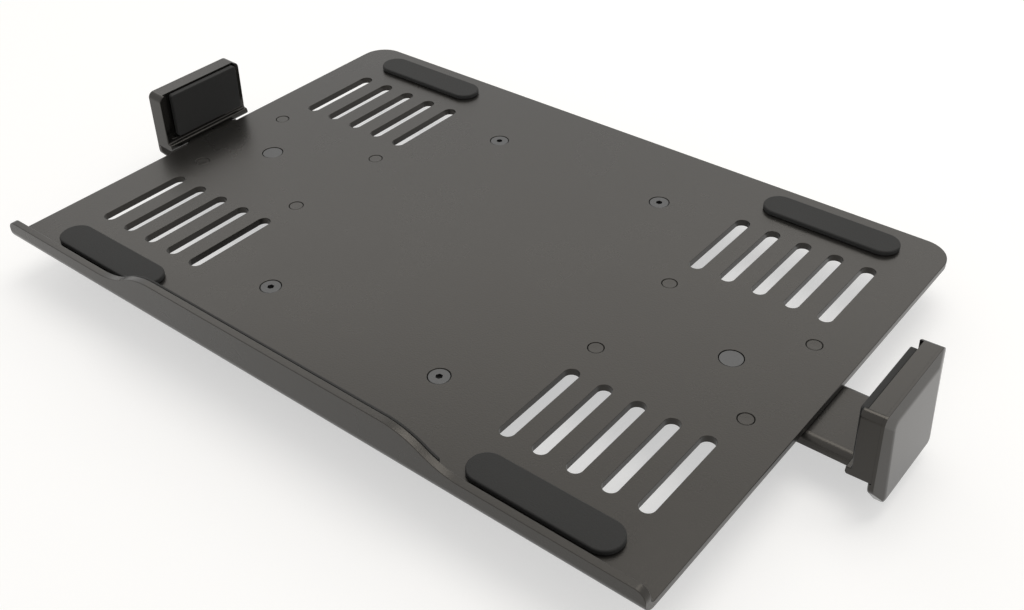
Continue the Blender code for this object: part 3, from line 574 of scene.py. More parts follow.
def grained(name, dark, pale, roughness, spread, grain, depth, **plain):
    """A moulded or coated surface: a fine grain in relief, and a slow drift of colour and gloss."""
    finish = surface(name, **plain)
    fine = finish.noise(scale=grain, detail=2.0, roughness=0.6)
    slow = finish.noise(scale=DRIFT_SCALE, detail=4.0, roughness=0.6)
    share = fine * 0.5 + slow * 0.5
    finish.feed(finish.shader.inputs["Base Color"], finish.mix(share, (*dark, 1), (*pale, 1)))
    finish.feed(finish.shader.inputs["Roughness"], slow * spread + (roughness - spread / 2))
    finish.feed(finish.shader.inputs["Normal"], finish.bump(fine, depth))
    return finish.owner


def turned_metal(name, colour, smoothest):
    """Bare or plated metal with fine turning marks."""
    finish = surface(name, Metallic=1.0)
    marks = finish.noise(scale=MARK_SCALE, detail=2.0, roughness=0.7)
    dark = [MARK_SHADE * c for c in colour]
    finish.feed(finish.shader.inputs["Base Color"], finish.mix(marks, (*dark, 1), (*colour, 1)))
    finish.feed(finish.shader.inputs["Roughness"], marks * MARK_GLOSS + smoothest)
    finish.feed(finish.shader.inputs["Normal"], finish.bump(marks, MARK_DEPTH))
    return finish.owner


POWDER_COAT = grained(
    "powder_coat",
    dark=(0.012, 0.0117, 0.011),
    pale=(0.018, 0.0174, 0.0165),
    roughness=0.28,
    spread=0.08,
    grain=1400.0,
    depth=0.00004,
    Specular_Tint=WARM,
)
JAW_PLASTIC = grained(
    "jaw_plastic",
    dark=(0.0075, 0.0074, 0.0071),
    pale=(0.011, 0.0108, 0.0103),
    roughness=0.18,
    spread=0.06,
    grain=2600.0,
    depth=0.000012,
    Specular_Tint=WARM,
)
KNOB_PLASTIC = grained(
    "knob_plastic",
    dark=(0.012, 0.012, 0.012),
    pale=(0.018, 0.018, 0.018),
    roughness=0.45,
    spread=0.06,
    grain=2600.0,
    depth=0.00002,
)
FOAM_RUBBER = grained(
    "foam_rubber",
    dark=(0.013, 0.013, 0.013),
    pale=(0.026, 0.026, 0.025),
    roughness=0.85,
    spread=0.08,
    grain=1800.0,
    depth=0.00008,
)
LINER_PLASTIC = grained(
    "liner_plastic",
    dark=(0.50, 0.50, 0.47),
    pale=(0.58, 0.58, 0.55),
    roughness=0.42,
    spread=0.06,
    grain=900.0,
    depth=0.00001,
)
BLACK_STEEL = turned_metal("black_steel", (0.10, 0.10, 0.10), smoothest=0.31)
BRASS = turned_metal("turned_brass", (0.60, 0.42, 0.16), smoothest=0.27)


# Tray with its soft strips


def lip_outline(drop=0.0):
    """The height of the lip's ends, and the corners of its crest from left to right, lowered by drop."""
    rise = LIP_HIGH - LIP_LOW
    radius = (OGEE_RUN**2 + rise**2) / (4 * rise)
    reach = radius * rise / OGEE_RUN
    high = FLOOR + LIP_HIGH - drop
    low = FLOOR + LIP_LOW - drop
    near = LIP_RAISED / 2 - OGEE_RUN / 2
    ogee = ((near + reach, high, radius - drop), (near + OGEE_RUN - reach, low, radius + drop))
    left = [(LIP_OFFSET - a, b, r) for a, b, r in reversed(ogee)]
    right = [(LIP_OFFSET + a, b, r) for a, b, r in ogee]
    return low, left + right


def countersink(x, y, shank, head):
    """A cutter for a flat head that is flush with the floor."""
    hole = shank / 2 + GAP
    mouth = head / 2 + GAP
    profile = [
        (0, TRAY_LOW.z - SPARE),
        (hole, TRAY_LOW.z - SPARE),
        (hole, FLOOR - GAP - (mouth - hole)),
        (mouth, FLOOR - GAP),
        (mouth, FLOOR + SPARE),
        (0, FLOOR + SPARE),
    ]
    return placed(turned(profile, SMALL_STEPS), (x, y, 0))


def stud_hole(x):
    """A cutter for a stud's shank and its sunk head."""
    hole = STUD_SIZE / 2 + GAP
    mouth = STUD_HIGH.x - STUD_X + GAP
    step = FLOOR - STUD_HEAD_HEIGHT - GAP
    profile = [
        (0, TRAY_LOW.z - SPARE),
        (hole, TRAY_LOW.z - SPARE),
        (hole, step),
        (mouth, step),
        (mouth, FLOOR + SPARE),
        (0, FLOOR + SPARE),
    ]
    return placed(turned(profile, SMALL_STEPS), (x, 0, 0))


def tray_holes():
    """One cutter for the vents and for what comes up through the floor."""
    vent = slot_block((0, 0), VENT_SIZE, TRAY_LOW.z - SPARE, FLOOR + SPARE)
    holes = []
    for x in (VENT_FIRST + i * VENT_PITCH for i in range(VENT_COUNT)):
        for side_x, side_y in ((1, 1), (1, -1), (-1, 1), (-1, -1)):
            holes.append(copied(vent, (side_x * x, side_y * VENT_MIDDLE, 0)))
    bpy.data.objects.remove(vent)
    holes += [countersink(x, y, SCREW_SHANK, SCREW_HEAD) for x, y in BRACKET_SCREW_PLACES]
    for side_x in (-1, 1):
        holes += [countersink(side_x * x, y, RIVET_SHANK, RIVET_HEAD) for x, y in RIVET_PLACES]
        holes.append(stud_hole(side_x * STUD_X))
    return joined(holes)


def tray_form():
    """The bent sheet with the lip's outline and its corners, still without holes."""
    middle = TRAY_LOW.z + SHEET / 2
    face = TRAY_LOW.y + SHEET / 2
    path = [(TRAY_HIGH.y, middle), (face, middle, BEND + SHEET / 2), (face, TRAY_HIGH.z + SPARE)]
    tray = folded("YZ", path, TRAY_LOW.x, TRAY_HIGH.x, SHEET)

    low, crest = lip_outline()
    left, right = TRAY_LOW.x - SPARE, TRAY_HIGH.x + SPARE
    under = TRAY_LOW.z - SPARE
    keep = [(left, low), *crest, (right, low), (right, under), (left, under)]
    tooled(tray, block("XZ", keep, TRAY_LOW.y - SPARE, TRAY_HIGH.y + SPARE), "INTERSECT")

    def on_side(edge):
        return all(abs(abs(v.co.x) - TRAY_HIGH.x) < CLOSE for v in edge.verts)

    def at_rear(edge):
        return along(edge, "Z") and on_side(edge) and edge.verts[0].co.y > TRAY_HIGH.y - CLOSE

    def at_lip_end(edge):
        return along(edge, "Y") and on_side(edge) and edge.verts[0].co.z > low - CLOSE

    rounded_where(tray, at_rear, REAR_CORNER, 16)
    rounded_where(tray, at_lip_end, LIP_END_RADIUS, 8)
    return tray


def make_tray():
    """The tray, rounded more widely on its outline than at its holes."""
    tray = tooled(tray_form(), tray_holes())

    def on_outline(vert):
        beyond_holes = vert.co.y > TRAY_HIGH.y - REAR_CORNER - CLOSE or vert.co.z > FLOOR + BEND + GAP
        return beyond_holes or abs(vert.co.x) > TRAY_HIGH.x - CLOSE

    def weigh(test, value):
        """Adds to the share of the widest rounding that the chosen sharp edges get."""
        edit(tray, "EDGE", lambda e: e.calc_face_angle(0) > SHARP_EDGE and test(e))
        bpy.ops.transform.edge_bevelweight(value=value)
        done()

    hole_share = SHEET_EDGE / OUTLINE_EDGE
    weigh(lambda e: True, hole_share)
    weigh(lambda e: all(on_outline(v) for v in e.verts), 1 - hole_share)
    applied(tray, "BEVEL", width=OUTLINE_EDGE, segments=4, limit_method="WEIGHT")
    merged(tray)
    finished(tray, "tray_sheet", POWDER_COAT, "coated_steel", "root", ["tray"])


def make_lip_pad():
    """The soft strip behind the raised lip, cut to the lip's own outline."""
    end = LIP_RAISED / 2 + LIP_PAD_OVERRUN
    near = TRAY_LOW.y + SHEET + GAP
    base = TRAY_LOW.z + SHEET + BEND + GAP
    corners = rectangle((LIP_OFFSET - end, base), (LIP_OFFSET + end, TRAY_HIGH.z))
    pad = block("XZ", corners, near, near + LIP_PAD_THICKNESS)
    low, crest = lip_outline(GAP)
    left, right = TRAY_LOW.x, TRAY_HIGH.x
    under = base - SPARE
    keep = [(left, low), *crest, (right, low), (right, under), (left, under)]
    tooled(pad, block("XZ", keep, near - SPARE, 0), "INTERSECT")
    rounded(pad, FOAM_EDGE)
    finished(pad, "lip_strip", FOAM_RUBBER, "soft_rubber", "root", ["lip_pad"])


def make_floor_pads():
    """Four soft strips that keep what lies on the tray off its floor."""
    low = FLOOR + GAP
    strip = slot_block((0, 0), FLOOR_PAD_SIZE[:2], low, low + FLOOR_PAD_SIZE[2])
    rounded_where(strip, lambda e: all(v.co.z > low + GAP for v in e.verts), FLOOR_PAD_EDGE)
    rounded(strip, FOAM_EDGE / 2, 1)
    for name_x, side_x in (("left", -1), ("right", 1)):
        for name_y, side_y in (("front", -1), ("rear", 1)):
            place = f"{name_y}_{name_x}"
            nodes = [f"floor_pad_{place}"]
            pad = copied(strip, (side_x * FLOOR_PAD_PLACE[0], side_y * FLOOR_PAD_PLACE[1], 0))
            finished(pad, f"floor_strip_{place}", FOAM_RUBBER, "soft_rubber", "root", nodes)
    bpy.data.objects.remove(strip)


# Bracket with its screws and nuts


def hat_path(half_width, end, low, thickness, bend):
    """The middle line of a sheet with a base, two upright legs and two flanges out to the ends."""
    leg = half_width - thickness / 2
    base = low + thickness / 2
    flange = HANG - thickness / 2
    radius = bend + thickness / 2
    path = [(-end, flange), (-leg, flange, radius), (-leg, base, radius)]
    return path + [(leg, base, radius), (leg, flange, radius), (end, flange)]


def make_bracket():
    """A folded hat of sheet under the tray, with the display plate's two squares of holes."""
    end = BRACKET_HIGH.y
    half = BRACKET_HIGH.x
    path = hat_path(BRACKET_BASE / 2, end, 0, BRACKET_SHEET, BRACKET_BEND)
    bracket = folded("YZ", path, -half, half, BRACKET_SHEET)
    plan = rectangle((-half, -end), (half, end), [BRACKET_CORNER] * 4)
    tooled(bracket, block("XY", plan, -SPARE, HANG + SPARE), "INTERSECT")
    holes = []
    for square in HOLE_SQUARES:
        for x in (-square / 2, square / 2):
            for y in (-square / 2, square / 2):
                holes.append(pin((x, y), PLATE_HOLE / 2, -SPARE, BRACKET_SHEET + SPARE, SMALL_STEPS))
    low = HANG - BRACKET_SHEET - SPARE
    for place in BRACKET_SCREW_PLACES:
        holes.append(pin(place, SCREW_SHANK / 2 + GAP, low, HANG + SPARE, SMALL_STEPS))
    tooled(bracket, joined(holes))
    rounded(bracket, SHEET_EDGE)
    finished(bracket, "bracket_sheet", POWDER_COAT, "coated_steel", "root", ["mount_bracket"])


def thread(radius, low, high, pitch):
    """Corners down a screw's side, in ridges, from high to low."""
    corners = []
    for i in range(int((high - low) / pitch)):
        top = high - i * pitch
        corners.append((radius - pitch * THREAD_DEPTH, top - pitch * THREAD_ROOT))
        corners.append((radius, top - pitch * THREAD_CREST))
    return corners


def bracket_screw():
    """A countersunk screw with a hexagon socket, flush with the tray's floor."""
    top = FLOOR - GAP / 2
    tip = top - SCREW_LENGTH
    shank = SCREW_SHANK / 2
    head = SCREW_HEAD / 2
    land = GAP / 2
    profile = [
        (0, top),
        (head - land, top, land),
        (head, top - land),
        (shank, top - land - (head - shank)),
        *thread(shank, tip + SCREW_PITCH, HANG - BRACKET_SHEET, SCREW_PITCH),
        (shank * TIP_SHARE, tip),
        (0, tip),
    ]
    screw = turned(profile, SMALL_STEPS)
    return tooled(screw, hexagon_block(SCREW_SOCKET, top - SOCKET_DEPTH, top + SPARE))


def bracket_nut():
    """A hexagon nut with chamfered corners and a flared bore."""
    top = HANG - BRACKET_SHEET - GAP
    low = top - NUT_HEIGHT
    flat = NUT_ACROSS_FLATS / 2
    corner = flat / math.cos(math.pi / 6)
    slant = (corner - flat) * NUT_SLANT
    barrel = [
        (0, low),
        (flat, low),
        (corner, low + slant),
        (corner, top - slant),
        (flat, top),
        (0, top),
    ]
    nut = tooled(hexagon_block(NUT_ACROSS_FLATS, low, top), turned(barrel), "INTERSECT")
    bore = SCREW_SHANK / 2 + GAP
    flare = SCREW_PITCH / 2
    hole = [
        (0, low - SPARE),
        (bore + flare, low - SPARE),
        (bore + flare, low),
        (bore, low + flare),
        (bore, top - flare),
        (bore + flare, top),
        (bore + flare, top + SPARE),
        (0, top + SPARE),
    ]
    return tooled(nut, turned(hole, SMALL_STEPS))


def make_bracket_fasteners():
    """Four countersunk screws from above, with nuts under the bracket's flanges."""
    screw, nut = bracket_screw(), bracket_nut()
    look = (BLACK_STEEL, "black_plated_steel", "root")
    for i, place in enumerate(BRACKET_SCREW_PLACES, 1):
        one = copied(screw, (*place, 0))
        finished(one, f"flat_screw_{i}", *look, [f"bracket_screw_{i}"])
        one = copied(nut, (*place, 0))
        finished(one, f"hexagon_nut_{i}", *look, [f"bracket_nut_{i}"], NUT_SMOOTH_ANGLE)
    bpy.data.objects.remove(screw)
    bpy.data.objects.remove(nut)


# Channels, locks and arms


def make_channel():
    """The folded channel that holds an arm to the tray's underside."""
    half = CHANNEL_HIGH.y - CHANNEL_FLANGE
    low = CHANNEL_LOW.z
    path = hat_path(half, CHANNEL_HIGH.y, low, CHANNEL_SHEET, CHANNEL_BEND)
    channel = folded("YZ", path, CHANNEL_LOW.x, CHANNEL_HIGH.x, CHANNEL_SHEET)
    holes = [pin((STUD_X, 0), STUD_SIZE / 2 + RUN, low - SPARE, low + SPARE)]
    under = HANG - CHANNEL_SHEET - SPARE
    for place in RIVET_PLACES:
        holes.append(pin(place, RIVET_SHANK / 2 + GAP, under, HANG + SPARE, SMALL_STEPS))
    tooled(channel, joined(holes))
    rounded(channel, SHEET_EDGE / 2)
    both_sides(channel, "folded_channel", POWDER_COAT, "coated_steel", "root", "channel")


def make_liner():
    """The plastic liner between a channel and its arm."""
    inset = CHANNEL_SHEET + GAP + LINER_WALL / 2
    leg = CHANNEL_HIGH.y - CHANNEL_FLANGE - inset
    base = CHANNEL_LOW.z + inset
    rim = HANG - GAP
    radius = GAP + LINER_WALL / 2
    path = [(-leg, rim), (-leg, base, radius), (leg, base, radius), (leg, rim)]
    left, right = CHANNEL_LOW.x + LINER_SETBACK, CHANNEL_HIGH.x - LINER_SETBACK
    liner = folded("YZ", path, left, right, LINER_WALL)
    tooled(liner, pin((STUD_X, 0), STUD_SIZE / 2 + RUN, CHANNEL_LOW.z, base + SPARE))
    rounded(liner, SMALL_EDGE)
    both_sides(liner, "sliding_liner", LINER_PLASTIC, "liner_plastic", "root", "liner")


def make_rivets():
    """Flush rivets with a sunk middle and a domed tail, four to a channel."""
    top = FLOOR - GAP / 2
    shank = RIVET_SHANK / 2
    head = RIVET_HEAD / 2
    tail = RIVET_TAIL[0] / 2
    tail_top = HANG - CHANNEL_SHEET - GAP
    tail_low = tail_top - RIVET_TAIL[1]
    land = GAP / 2
    profile = [
        (0, tail_low),
        (tail, tail_low, RIVET_TAIL_RADIUS),
        (tail, tail_top),
        (shank, tail_top),
        (shank, top - land - (head - shank)),
        (head, top - land),
        (head - land, top),
        (head * RIVET_SINK, top),
        (0, top - land),
    ]
    rivet = turned(profile, SMALL_STEPS)
    for i, place in enumerate(RIVET_PLACES, 1):
        one = copied(rivet, (*place, 0))
        both_sides(one, f"flush_rivet_{i}", POWDER_COAT, "coated_steel", "root", f"rivet_{i}")
    bpy.data.objects.remove(rivet)


def make_stud():
    """The stud that hangs from the tray through the arm's slot."""
    radius = STUD_SIZE / 2
    top = FLOOR - GAP / 2
    tip = STUD_LOW.z
    head_low = top - STUD_HEAD_HEIGHT
    head = STUD_HIGH.x - STUD_X
    thread_low = tip + radius * (1 - TIP_SHARE)
    profile = [
        (0, tip),
        (radius * TIP_SHARE, tip),
        *reversed(thread(radius, thread_low, WASHER_LOW.z, STUD_PITCH)),
        (radius, WASHER_HIGH.z),
        (radius, head_low),
        (head, head_low),
        (head, top, SMALL_EDGE),
        (0, top),
    ]
    stud = placed(turned(profile), (STUD_X, 0, 0))
    both_sides(stud, "pressed_stud", BLACK_STEEL, "black_plated_steel", "root", "lock_stud")


def make_washer():
    """The washer between the channel and the knob's insert."""
    bore = STUD_SIZE / 2 + GAP
    rim = WASHER_HIGH.x - STUD_X
    low, high = WASHER_LOW.z, WASHER_HIGH.z
    inner, outer = SMALL_EDGE, 2 * SMALL_EDGE
    profile = [(bore, low, inner), (rim, low, outer), (rim, high, outer), (bore, high, inner)]
    washer = placed(turned(profile), (STUD_X, 0, 0))
    both_sides(washer, "flat_washer", BLACK_STEEL, "black_plated_steel", "root", "lock_washer")


def make_insert():
    """The knob's threaded brass insert."""
    low, high = INSERT_LOW.z, INSERT_HIGH.z
    bore = STUD_SIZE / 2 + GAP
    wall = INSERT_SIZE / 2
    edge = 2 * SMALL_EDGE
    profile = [(bore + edge, low), (wall, low, edge), (wall, high, edge), (bore + edge, high)]
    profile += thread(bore + edge / 2, low, high, STUD_PITCH)
    insert = placed(turned(profile), (STUD_X, 0, 0))
    both_sides(insert, "brass_insert", BRASS, "brass", "knob", "knob_insert")


def make_knob():
    """A lobed grip under a round hub, dished on its lower face."""
    low, high = KNOB_LOW.z, KNOB_HIGH.z
    body_top = high - KNOB_HUB[1]
    radius = KNOB_HIGH.x - STUD_X
    lobes = []
    for i in range(KNOB_LOBES):
        for place, (reach, curve) in ((i, LOBE), (i + 0.5, HOLLOW)):
            turn = math.tau * place / KNOB_LOBES
            lobes.append((radius * reach * math.cos(turn), radius * reach * math.sin(turn), curve))
    knob = block("XY", lobes, low, body_top)
    rounded_where(knob, lambda e: e.calc_face_angle(0) > STEEP_EDGE, KNOB_EDGE, 5)
    rim, depth = radius * KNOB_DISH[0], KNOB_DISH[1]
    dish = [(0, low + depth), (rim - depth, low + depth, depth), (rim, low)]
    dish += [(rim, low - SPARE), (0, low - SPARE)]
    tooled(knob, turned(dish, KNOB_STEPS))
    hub = pin((0, 0), KNOB_HUB[0] / 2, body_top - SPARE, high, KNOB_STEPS)
    rounded(hub, KNOB_EDGE / 2, 3)
    tooled(knob, hub, "UNION")
    tooled(knob, pin((0, 0), INSERT_SIZE / 2 + GAP, INSERT_LOW.z - GAP, high + SPARE))
    placed(knob, (STUD_X, 0, 0))
    both_sides(knob, "lobed_knob", KNOB_PLASTIC, "moulded_plastic", "knob", "lock_knob")


def make_arm():
    """A folded arm: a channel section with the stud's slot, and a neck bent up into the jaw."""
    leg = ARM_HIGH.y - ARM_SHEET / 2
    web = HANG - ARM_SHEET / 2
    low = HANG - ARM_HEIGHT
    radius = ARM_BEND + ARM_SHEET / 2
    path = [(-leg, low), (-leg, web, radius), (leg, web, radius), (leg, low)]
    web_end = RIGHT_SEAM + TOE_X - RUN
    arm = folded("YZ", path, ARM_LOW.x, web_end, ARM_SHEET)

    lean = math.tan(JAW_LEAN)
    inset = ARM_SHEET / 2 / math.cos(JAW_LEAN)
    corner = (RIGHT_SEAM - inset + (FLOOR - web) * lean, web, NECK_BEND + ARM_SHEET / 2)
    top = (RIGHT_SEAM - inset - UPRIGHT_TOP * lean, FLOOR + UPRIGHT_TOP)
    start = (web_end - NECK_OVERLAP, web)
    neck = folded("XZ", [start, corner, top], -NECK_WIDTH / 2, NECK_WIDTH / 2, ARM_SHEET)
    tooled(arm, neck, "UNION")

    shift = RIGHT_REACH - TRAVEL / 2
    size = (TRAVEL + STUD_SIZE + 2 * RUN, STUD_SIZE + 2 * RUN)
    tooled(arm, slot_block((STUD_X + shift, 0), size, HANG - ARM_SHEET - SPARE, HANG + SPARE))
    tooled(arm, seated(jaw_bars(JAW_SCREW_SIZE / 2 + GAP, -ARM_SHEET - SPARE, SPARE)))
    rounded(arm, SHEET_EDGE / 2)
    both_sides(arm, "folded_arm", POWDER_COAT, "coated_steel", "jaw", "arm", SIDE_SHIFT)


# Jaws


def seated(obj):
    """Moves what is modelled in the jaw's frame to the right jaw's place."""
    return placed(obj, (RIGHT_SEAM, 0, FLOOR), (0, -JAW_LEAN, 0))


def on_screw_line(obj, y):
    """Lays what is turned about the upright axis along a jaw screw's line."""
    return placed(obj, (0, y, JAW_SCREW_HEIGHT), (0, math.pi / 2, 0))


def jaw_bars(radius, low, high):
    """Two round bars along the jaw's depth, where its screws are."""
    places = (-JAW_SCREW_Y, JAW_SCREW_Y)
    return joined([on_screw_line(pin((0, 0), radius, low, high, SMALL_STEPS), y) for y in places])


def flared(radius, size, middle):
    """Draws out the selected end face of a cutter to -X, so that it leaves a rounded mouth."""
    for i in range(MOUTH_STEPS):
        first, last = (math.pi / 2 * k / MOUTH_STEPS for k in (i, i + 1))
        step = radius * (math.sin(last) - math.sin(first))
        bpy.ops.mesh.extrude_region_move(TRANSFORM_OT_translate={"value": (-step, 0, 0)})
        wider = size + Vector((2, 2)) * radius * (math.cos(first) - math.cos(last))
        bpy.ops.transform.resize(value=(1, wider.x / size.x, wider.y / size.y), center_override=middle)
        size = wider
    bpy.ops.mesh.extrude_region_move(TRANSFORM_OT_translate={"value": (-SPARE, 0, 0)})


def jaw_form():
    """The jaw body's outer form with its front edges rounded, run past the seam."""
    half = JAW_WIDTH / 2
    shelf = JAW_TOE_HEIGHT - JAW_FOOT
    profile = [
        (SPARE, -JAW_FOOT),
        (SPARE, JAW_TOP),
        (CHEEK_X, JAW_TOP),
        (CHEEK_X, shelf, TOE_TOP_RADIUS),
        (TOE_X, shelf, TOE_TOP_RADIUS),
        (TOE_X, -JAW_FOOT, TOE_SOLE_RADIUS),
    ]
    body = block("XZ", profile, -half - SPARE, half + SPARE)
    corners = (JAW_FOOT_CORNER, JAW_FOOT_CORNER, JAW_CORNER, JAW_CORNER)
    outline = rectangle((-half, -JAW_FOOT), (half, JAW_TOP), corners)
    tooled(body, block("YZ", outline, TOE_X - SPARE, 2 * SPARE), "INTERSECT")

    def on_front(edge):
        before = all(v.co.x < CHEEK_X + CLOSE for v in edge.verts)
        above = all(v.co.z > TOE_SOLE_RADIUS - JAW_FOOT - CLOSE for v in edge.verts)
        return before and above and edge.calc_face_angle(0) > STEEP_EDGE

    rounded_where(body, on_front, JAW_EDGE)
    return body


def pad_bed():
    """A cutter for the bed of a jaw's pad, open at the top and with a rounded mouth."""
    end = JAW_WIDTH / 2 - CHEEK_WALL
    low, high = (-end, PAD_BED), (end, JAW_TOP + SPARE)
    start = CHEEK_X + MOUTH_EDGE - HAIR
    corners = (PAD_BED_CORNER, PAD_BED_CORNER, 0, 0)
    bed = block("YZ", rectangle(low, high, corners), start, -JAW_BACK)
    edit(bed, "FACE", lambda f: all(v.co.x < start + CLOSE for v in f.verts))
    flared(MOUTH_EDGE, Vector(high) - Vector(low), in_space("YZ", 0, (low[1] + high[1]) / 2))
    done()
    return bed


def make_jaw_body():
    """The moulded jaw: back, two cheeks that hold the pad's ends, and toes that point under the tray."""
    body = tooled(jaw_form(), pad_bed())

    # Room for the arm's upright and its way in, and for the screws
    neck = NECK_WIDTH / 2 + RUN
    pocket = rectangle((-neck, -JAW_FOOT - SPARE), (neck, UPRIGHT_TOP + RUN))
    tooled(body, block("YZ", pocket, -ARM_SHEET - GAP, 2 * SPARE))
    passage = rectangle((-neck, -JAW_FOOT - SPARE), (neck, HANG - FLOOR + 2 * RUN))
    tooled(body, block("YZ", passage, TOE_X - SPARE, 2 * SPARE))
    tooled(body, jaw_bars(JAW_SCREW_SIZE / 2 + GAP, -JAW_BACK - SPARE, 2 * SPARE))
    seat = -JAW_BACK + JAW_SCREW_HEAD[1] + GAP
    tooled(body, jaw_bars(JAW_SCREW_HEAD[0] / 2 + GAP, -JAW_BACK - SPARE, seat))

    # The seam, at which the body ends
    half = JAW_WIDTH / 2
    beyond = rectangle((-half - SPARE, -JAW_FOOT - SPARE), (half + SPARE, JAW_TOP + SPARE))
    tooled(body, block("YZ", beyond, 0, 2 * SPARE))
    both_sides(seated(body), "moulded_jaw", JAW_PLASTIC, "moulded_plastic", "jaw", "jaw_body", SIDE_SHIFT)


def pillow():
    """The cover's outer form: a straight rim, and wide bevels to a flat face that leans out below."""
    half = JAW_WIDTH / 2
    above, beside, below = COVER_BEVEL
    low, high = -COVER_DROP + below, JAW_TOP - above
    shallow, deep = COVER_DEPTH
    edge_x = GAP + COVER_SIDE
    rim = rectangle((-half, -COVER_DROP), (half, JAW_TOP), [JAW_CORNER] * 4)
    cover = block("YZ", rim, -COVER_LIP, edge_x)
    flat = rectangle((beside - half, low), (half - beside, high), COVER_FLAT_CORNERS)
    face = traced("YZ", flat, GAP + shallow, closed=True)
    edit(face, "VERT")
    slant = math.atan((deep - shallow) / (high - low))
    bpy.ops.transform.rotate(value=slant, orient_axis="Y", center_override=(GAP + shallow, 0, high))
    done()
    edit(cover, "FACE", lambda f: all(v.co.x > edge_x - CLOSE for v in f.verts))
    bpy.ops.mesh.delete(type="ONLY_FACE")
    done()
    joined([cover, face])
    edit(cover, "EDGE", lambda e: e.is_boundary)
    bpy.ops.mesh.bridge_edge_loops()
    bpy.ops.mesh.select_all(action="SELECT")
    bpy.ops.mesh.normals_make_consistent(inside=False)
    done()
    rounded_where(cover, lambda e: all(v.co.x > GAP + shallow - CLOSE for v in e.verts), PILLOW_EDGE, 5)
    return cover


def make_jaw_cover():
    """The pillow-shaped cover with cut lower corners and a lip that reaches under the body."""
    cover = pillow()
    half = JAW_WIDTH / 2
    width, height, radius = COVER_CUT
    right = [
        (half - width, -COVER_DROP, radius),
        (half, height - COVER_DROP, radius),
        (half, JAW_TOP + SPARE),
    ]
    keep = [(-a, b, *r) for a, b, *r in reversed(right)] + right
    tooled(cover, block("YZ", keep, -COVER_LIP - SPARE, GAP + max(COVER_DEPTH) + SPARE), "INTERSECT")
    edit(cover)
    bpy.ops.mesh.dissolve_limited(angle_limit=FLAT_ENOUGH)
    done()

    def on_rim(edge):
        return edge.calc_face_angle(0) > STEEP_EDGE and edge.verts[0].co.x > 0

    rounded_where(cover, on_rim, RIM_EDGE, clamped=True)
    rounded_where(cover, lambda e: all(v.co.x < -COVER_LIP + CLOSE for v in e.verts), COVER_LIP_EDGE)

    # Room for the body above the lip, and for the arm
    neck = NECK_WIDTH / 2 + RUN
    ledge = -JAW_FOOT - HAIR
    notch = -JAW_FOOT - ARM_SHEET - COVER_NOTCH
    outer = half + SPARE
    stepped = [
        (-outer, ledge),
        (-neck, ledge),
        (-neck, notch),
        (neck, notch),
        (neck, ledge),
        (outer, ledge),
        (outer, JAW_TOP + SPARE),
        (-outer, JAW_TOP + SPARE),
    ]
    tooled(cover, block("YZ", stepped, -COVER_LIP - SPARE, HAIR))
    tooled(cover, jaw_bars(JAW_SCREW_SIZE / 2 + GAP, -SPARE, 2 * GAP + JAW_SCREW_BITE))
    both_sides(seated(cover), "pillow_cover", JAW_PLASTIC, "moulded_plastic", "jaw", "jaw_cover", SIDE_SHIFT)


def make_jaw_pad():
    """The soft pad between the cheeks, set against the nearer one."""
    length, height, thickness = PAD_SIZE
    back = -JAW_BACK - GAP
    low = Vector((-JAW_WIDTH / 2 + CHEEK_WALL + GAP, PAD_BED + GAP))
    outline = rectangle(low, low + Vector((length, height)), [thickness / 2] * 4)
    pad = seated(rounded(block("YZ", outline, back - thickness, back), PAD_EDGE, 4))
    for one in both_sides(pad, "foam_pad", FOAM_RUBBER, "soft_rubber", "jaw", "jaw_pad", SIDE_SHIFT):
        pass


def make_jaw_screws():
    """Two screws that clamp body, arm and cover together."""
    head_low = -JAW_BACK + GAP / 2
    tip = GAP + JAW_SCREW_BITE
    shank = JAW_SCREW_SIZE / 2
    head = JAW_SCREW_HEAD[0] / 2
    neck = head_low + JAW_SCREW_HEAD[1]
    profile = [
        (0, head_low),
        (head, head_low, SMALL_EDGE),
        (head, neck),
        (shank, neck),
        (shank, tip),
        (0, tip),
    ]
    screw = turned(profile, SMALL_STEPS)
    tooled(screw, hexagon_block(JAW_SCREW_SOCKET, head_low - SPARE, head_low + JAW_SOCKET_DEPTH))
    look = (BLACK_STEEL, "black_plated_steel", "jaw")
    for i, y in enumerate((-JAW_SCREW_Y, JAW_SCREW_Y), 1):
        one = seated(on_screw_line(copied(screw), y))
        both_sides(one, f"clamp_screw_{i}", *look, f"jaw_screw_{i}", SIDE_SHIFT)
    bpy.data.objects.remove(screw)


make_tray()
make_lip_pad()
make_floor_pads()
make_bracket()
make_bracket_fasteners()
make_channel()
make_liner()
make_rivets()
make_stud()
make_washer()
make_insert()
make_knob()
make_arm()
make_jaw_body()
make_jaw_cover()
make_jaw_pad()
make_jaw_screws()


# Stage, light and camera

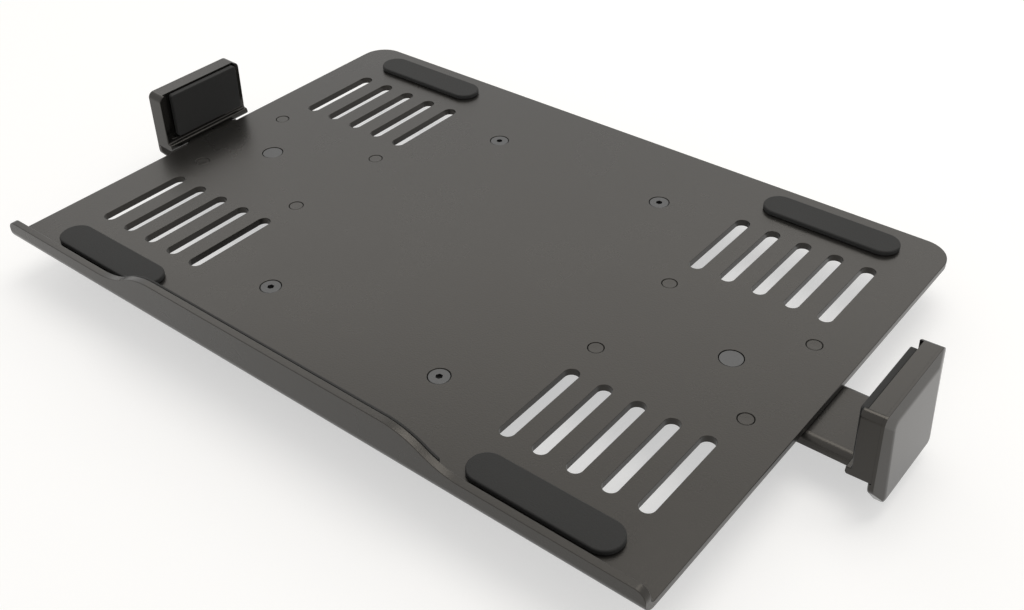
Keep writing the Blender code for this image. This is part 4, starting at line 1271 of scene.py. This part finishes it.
LAMPS = (
    # name, place, size, radiance
    ("overhead", (0.1, 0.22, 1.2), (0.8, 0.8), 2.7),
    ("back_softbox", (-0.7, 0.95, 1.0), (1.8, 0.5), 0.8),
)
LAMP_COLOUR = (1.0, 0.97, 0.92)
ROOM_LIGHT = (0.5, 0.49, 0.47, 1)
FLOOR_COLOUR = (0.55, 0.55, 0.55, 1)
FLOOR_GLOW = (0.53, 0.53, 0.53, 1)  # only for what the camera sees
FLOOR_DROP = 0.0002
DARK, WHITE = (0, 0, 0, 1), (1, 1, 1, 1)


def seen_directly(finish):
    """One for what the camera sees, also in a mirror or through glass, and none for what lights."""
    path = finish.node("ShaderNodeLightPath")
    rays = finish.shade(path, "Is Camera Ray") + finish.shade(path, "Is Glossy Ray")
    return rays + finish.shade(path, "Is Transmission Ray")


def make_stage():
    """A pale floor that keeps the object's shadow."""
    bpy.ops.object.select_all(action="DESELECT")
    bpy.ops.mesh.primitive_plane_add(size=12, location=(0, 0, -FLOOR_DROP))
    floor = bpy.context.object
    floor.name = "floor"
    finish = surface("pale_floor", Base_Color=FLOOR_COLOUR, Roughness=0.9, Emission_Strength=1.0)
    glow = finish.mix(seen_directly(finish), DARK, FLOOR_GLOW)
    finish.feed(finish.shader.inputs["Emission Color"], glow)
    floor.data.materials.append(finish.owner)


def make_light():
    """A dim warm room with a white background, and two soft lamps turned to the object."""
    world = bpy.data.worlds.new("studio")
    bpy.context.scene.world = world
    finish = Finish(world)
    background = finish.tree.nodes["Background"]
    background.inputs["Strength"].default_value = 1.0
    colour = finish.mix(seen_directly(finish), ROOM_LIGHT, WHITE)
    finish.feed(background.inputs["Color"], colour)
    for name, place, size, radiance in LAMPS:
        bpy.ops.object.light_add(type="AREA", location=place)
        lamp = bpy.context.object
        lamp.name = name
        lamp.data.shape = "RECTANGLE"
        lamp.data.size, lamp.data.size_y = size
        lamp.data.energy = radiance * math.pi * size[0] * size[1]
        lamp.data.color = LAMP_COLOUR
        lamp.rotation_euler = (-lamp.location).to_track_quat("-Z", "Y").to_euler()


def make_camera():
    """The photograph's view."""
    turn = [math.radians(a) for a in CAMERA_TURN]
    bpy.ops.object.camera_add(location=CAMERA_PLACE, rotation=turn)
    camera = bpy.context.object
    camera.data.lens = CAMERA_LENS
    camera.data.sensor_width = 36
    camera.data.clip_start = 0.01
    bpy.context.scene.camera = camera


make_camera()
make_stage()
make_light()
bpy.context.scene.view_settings.view_transform = "Standard"
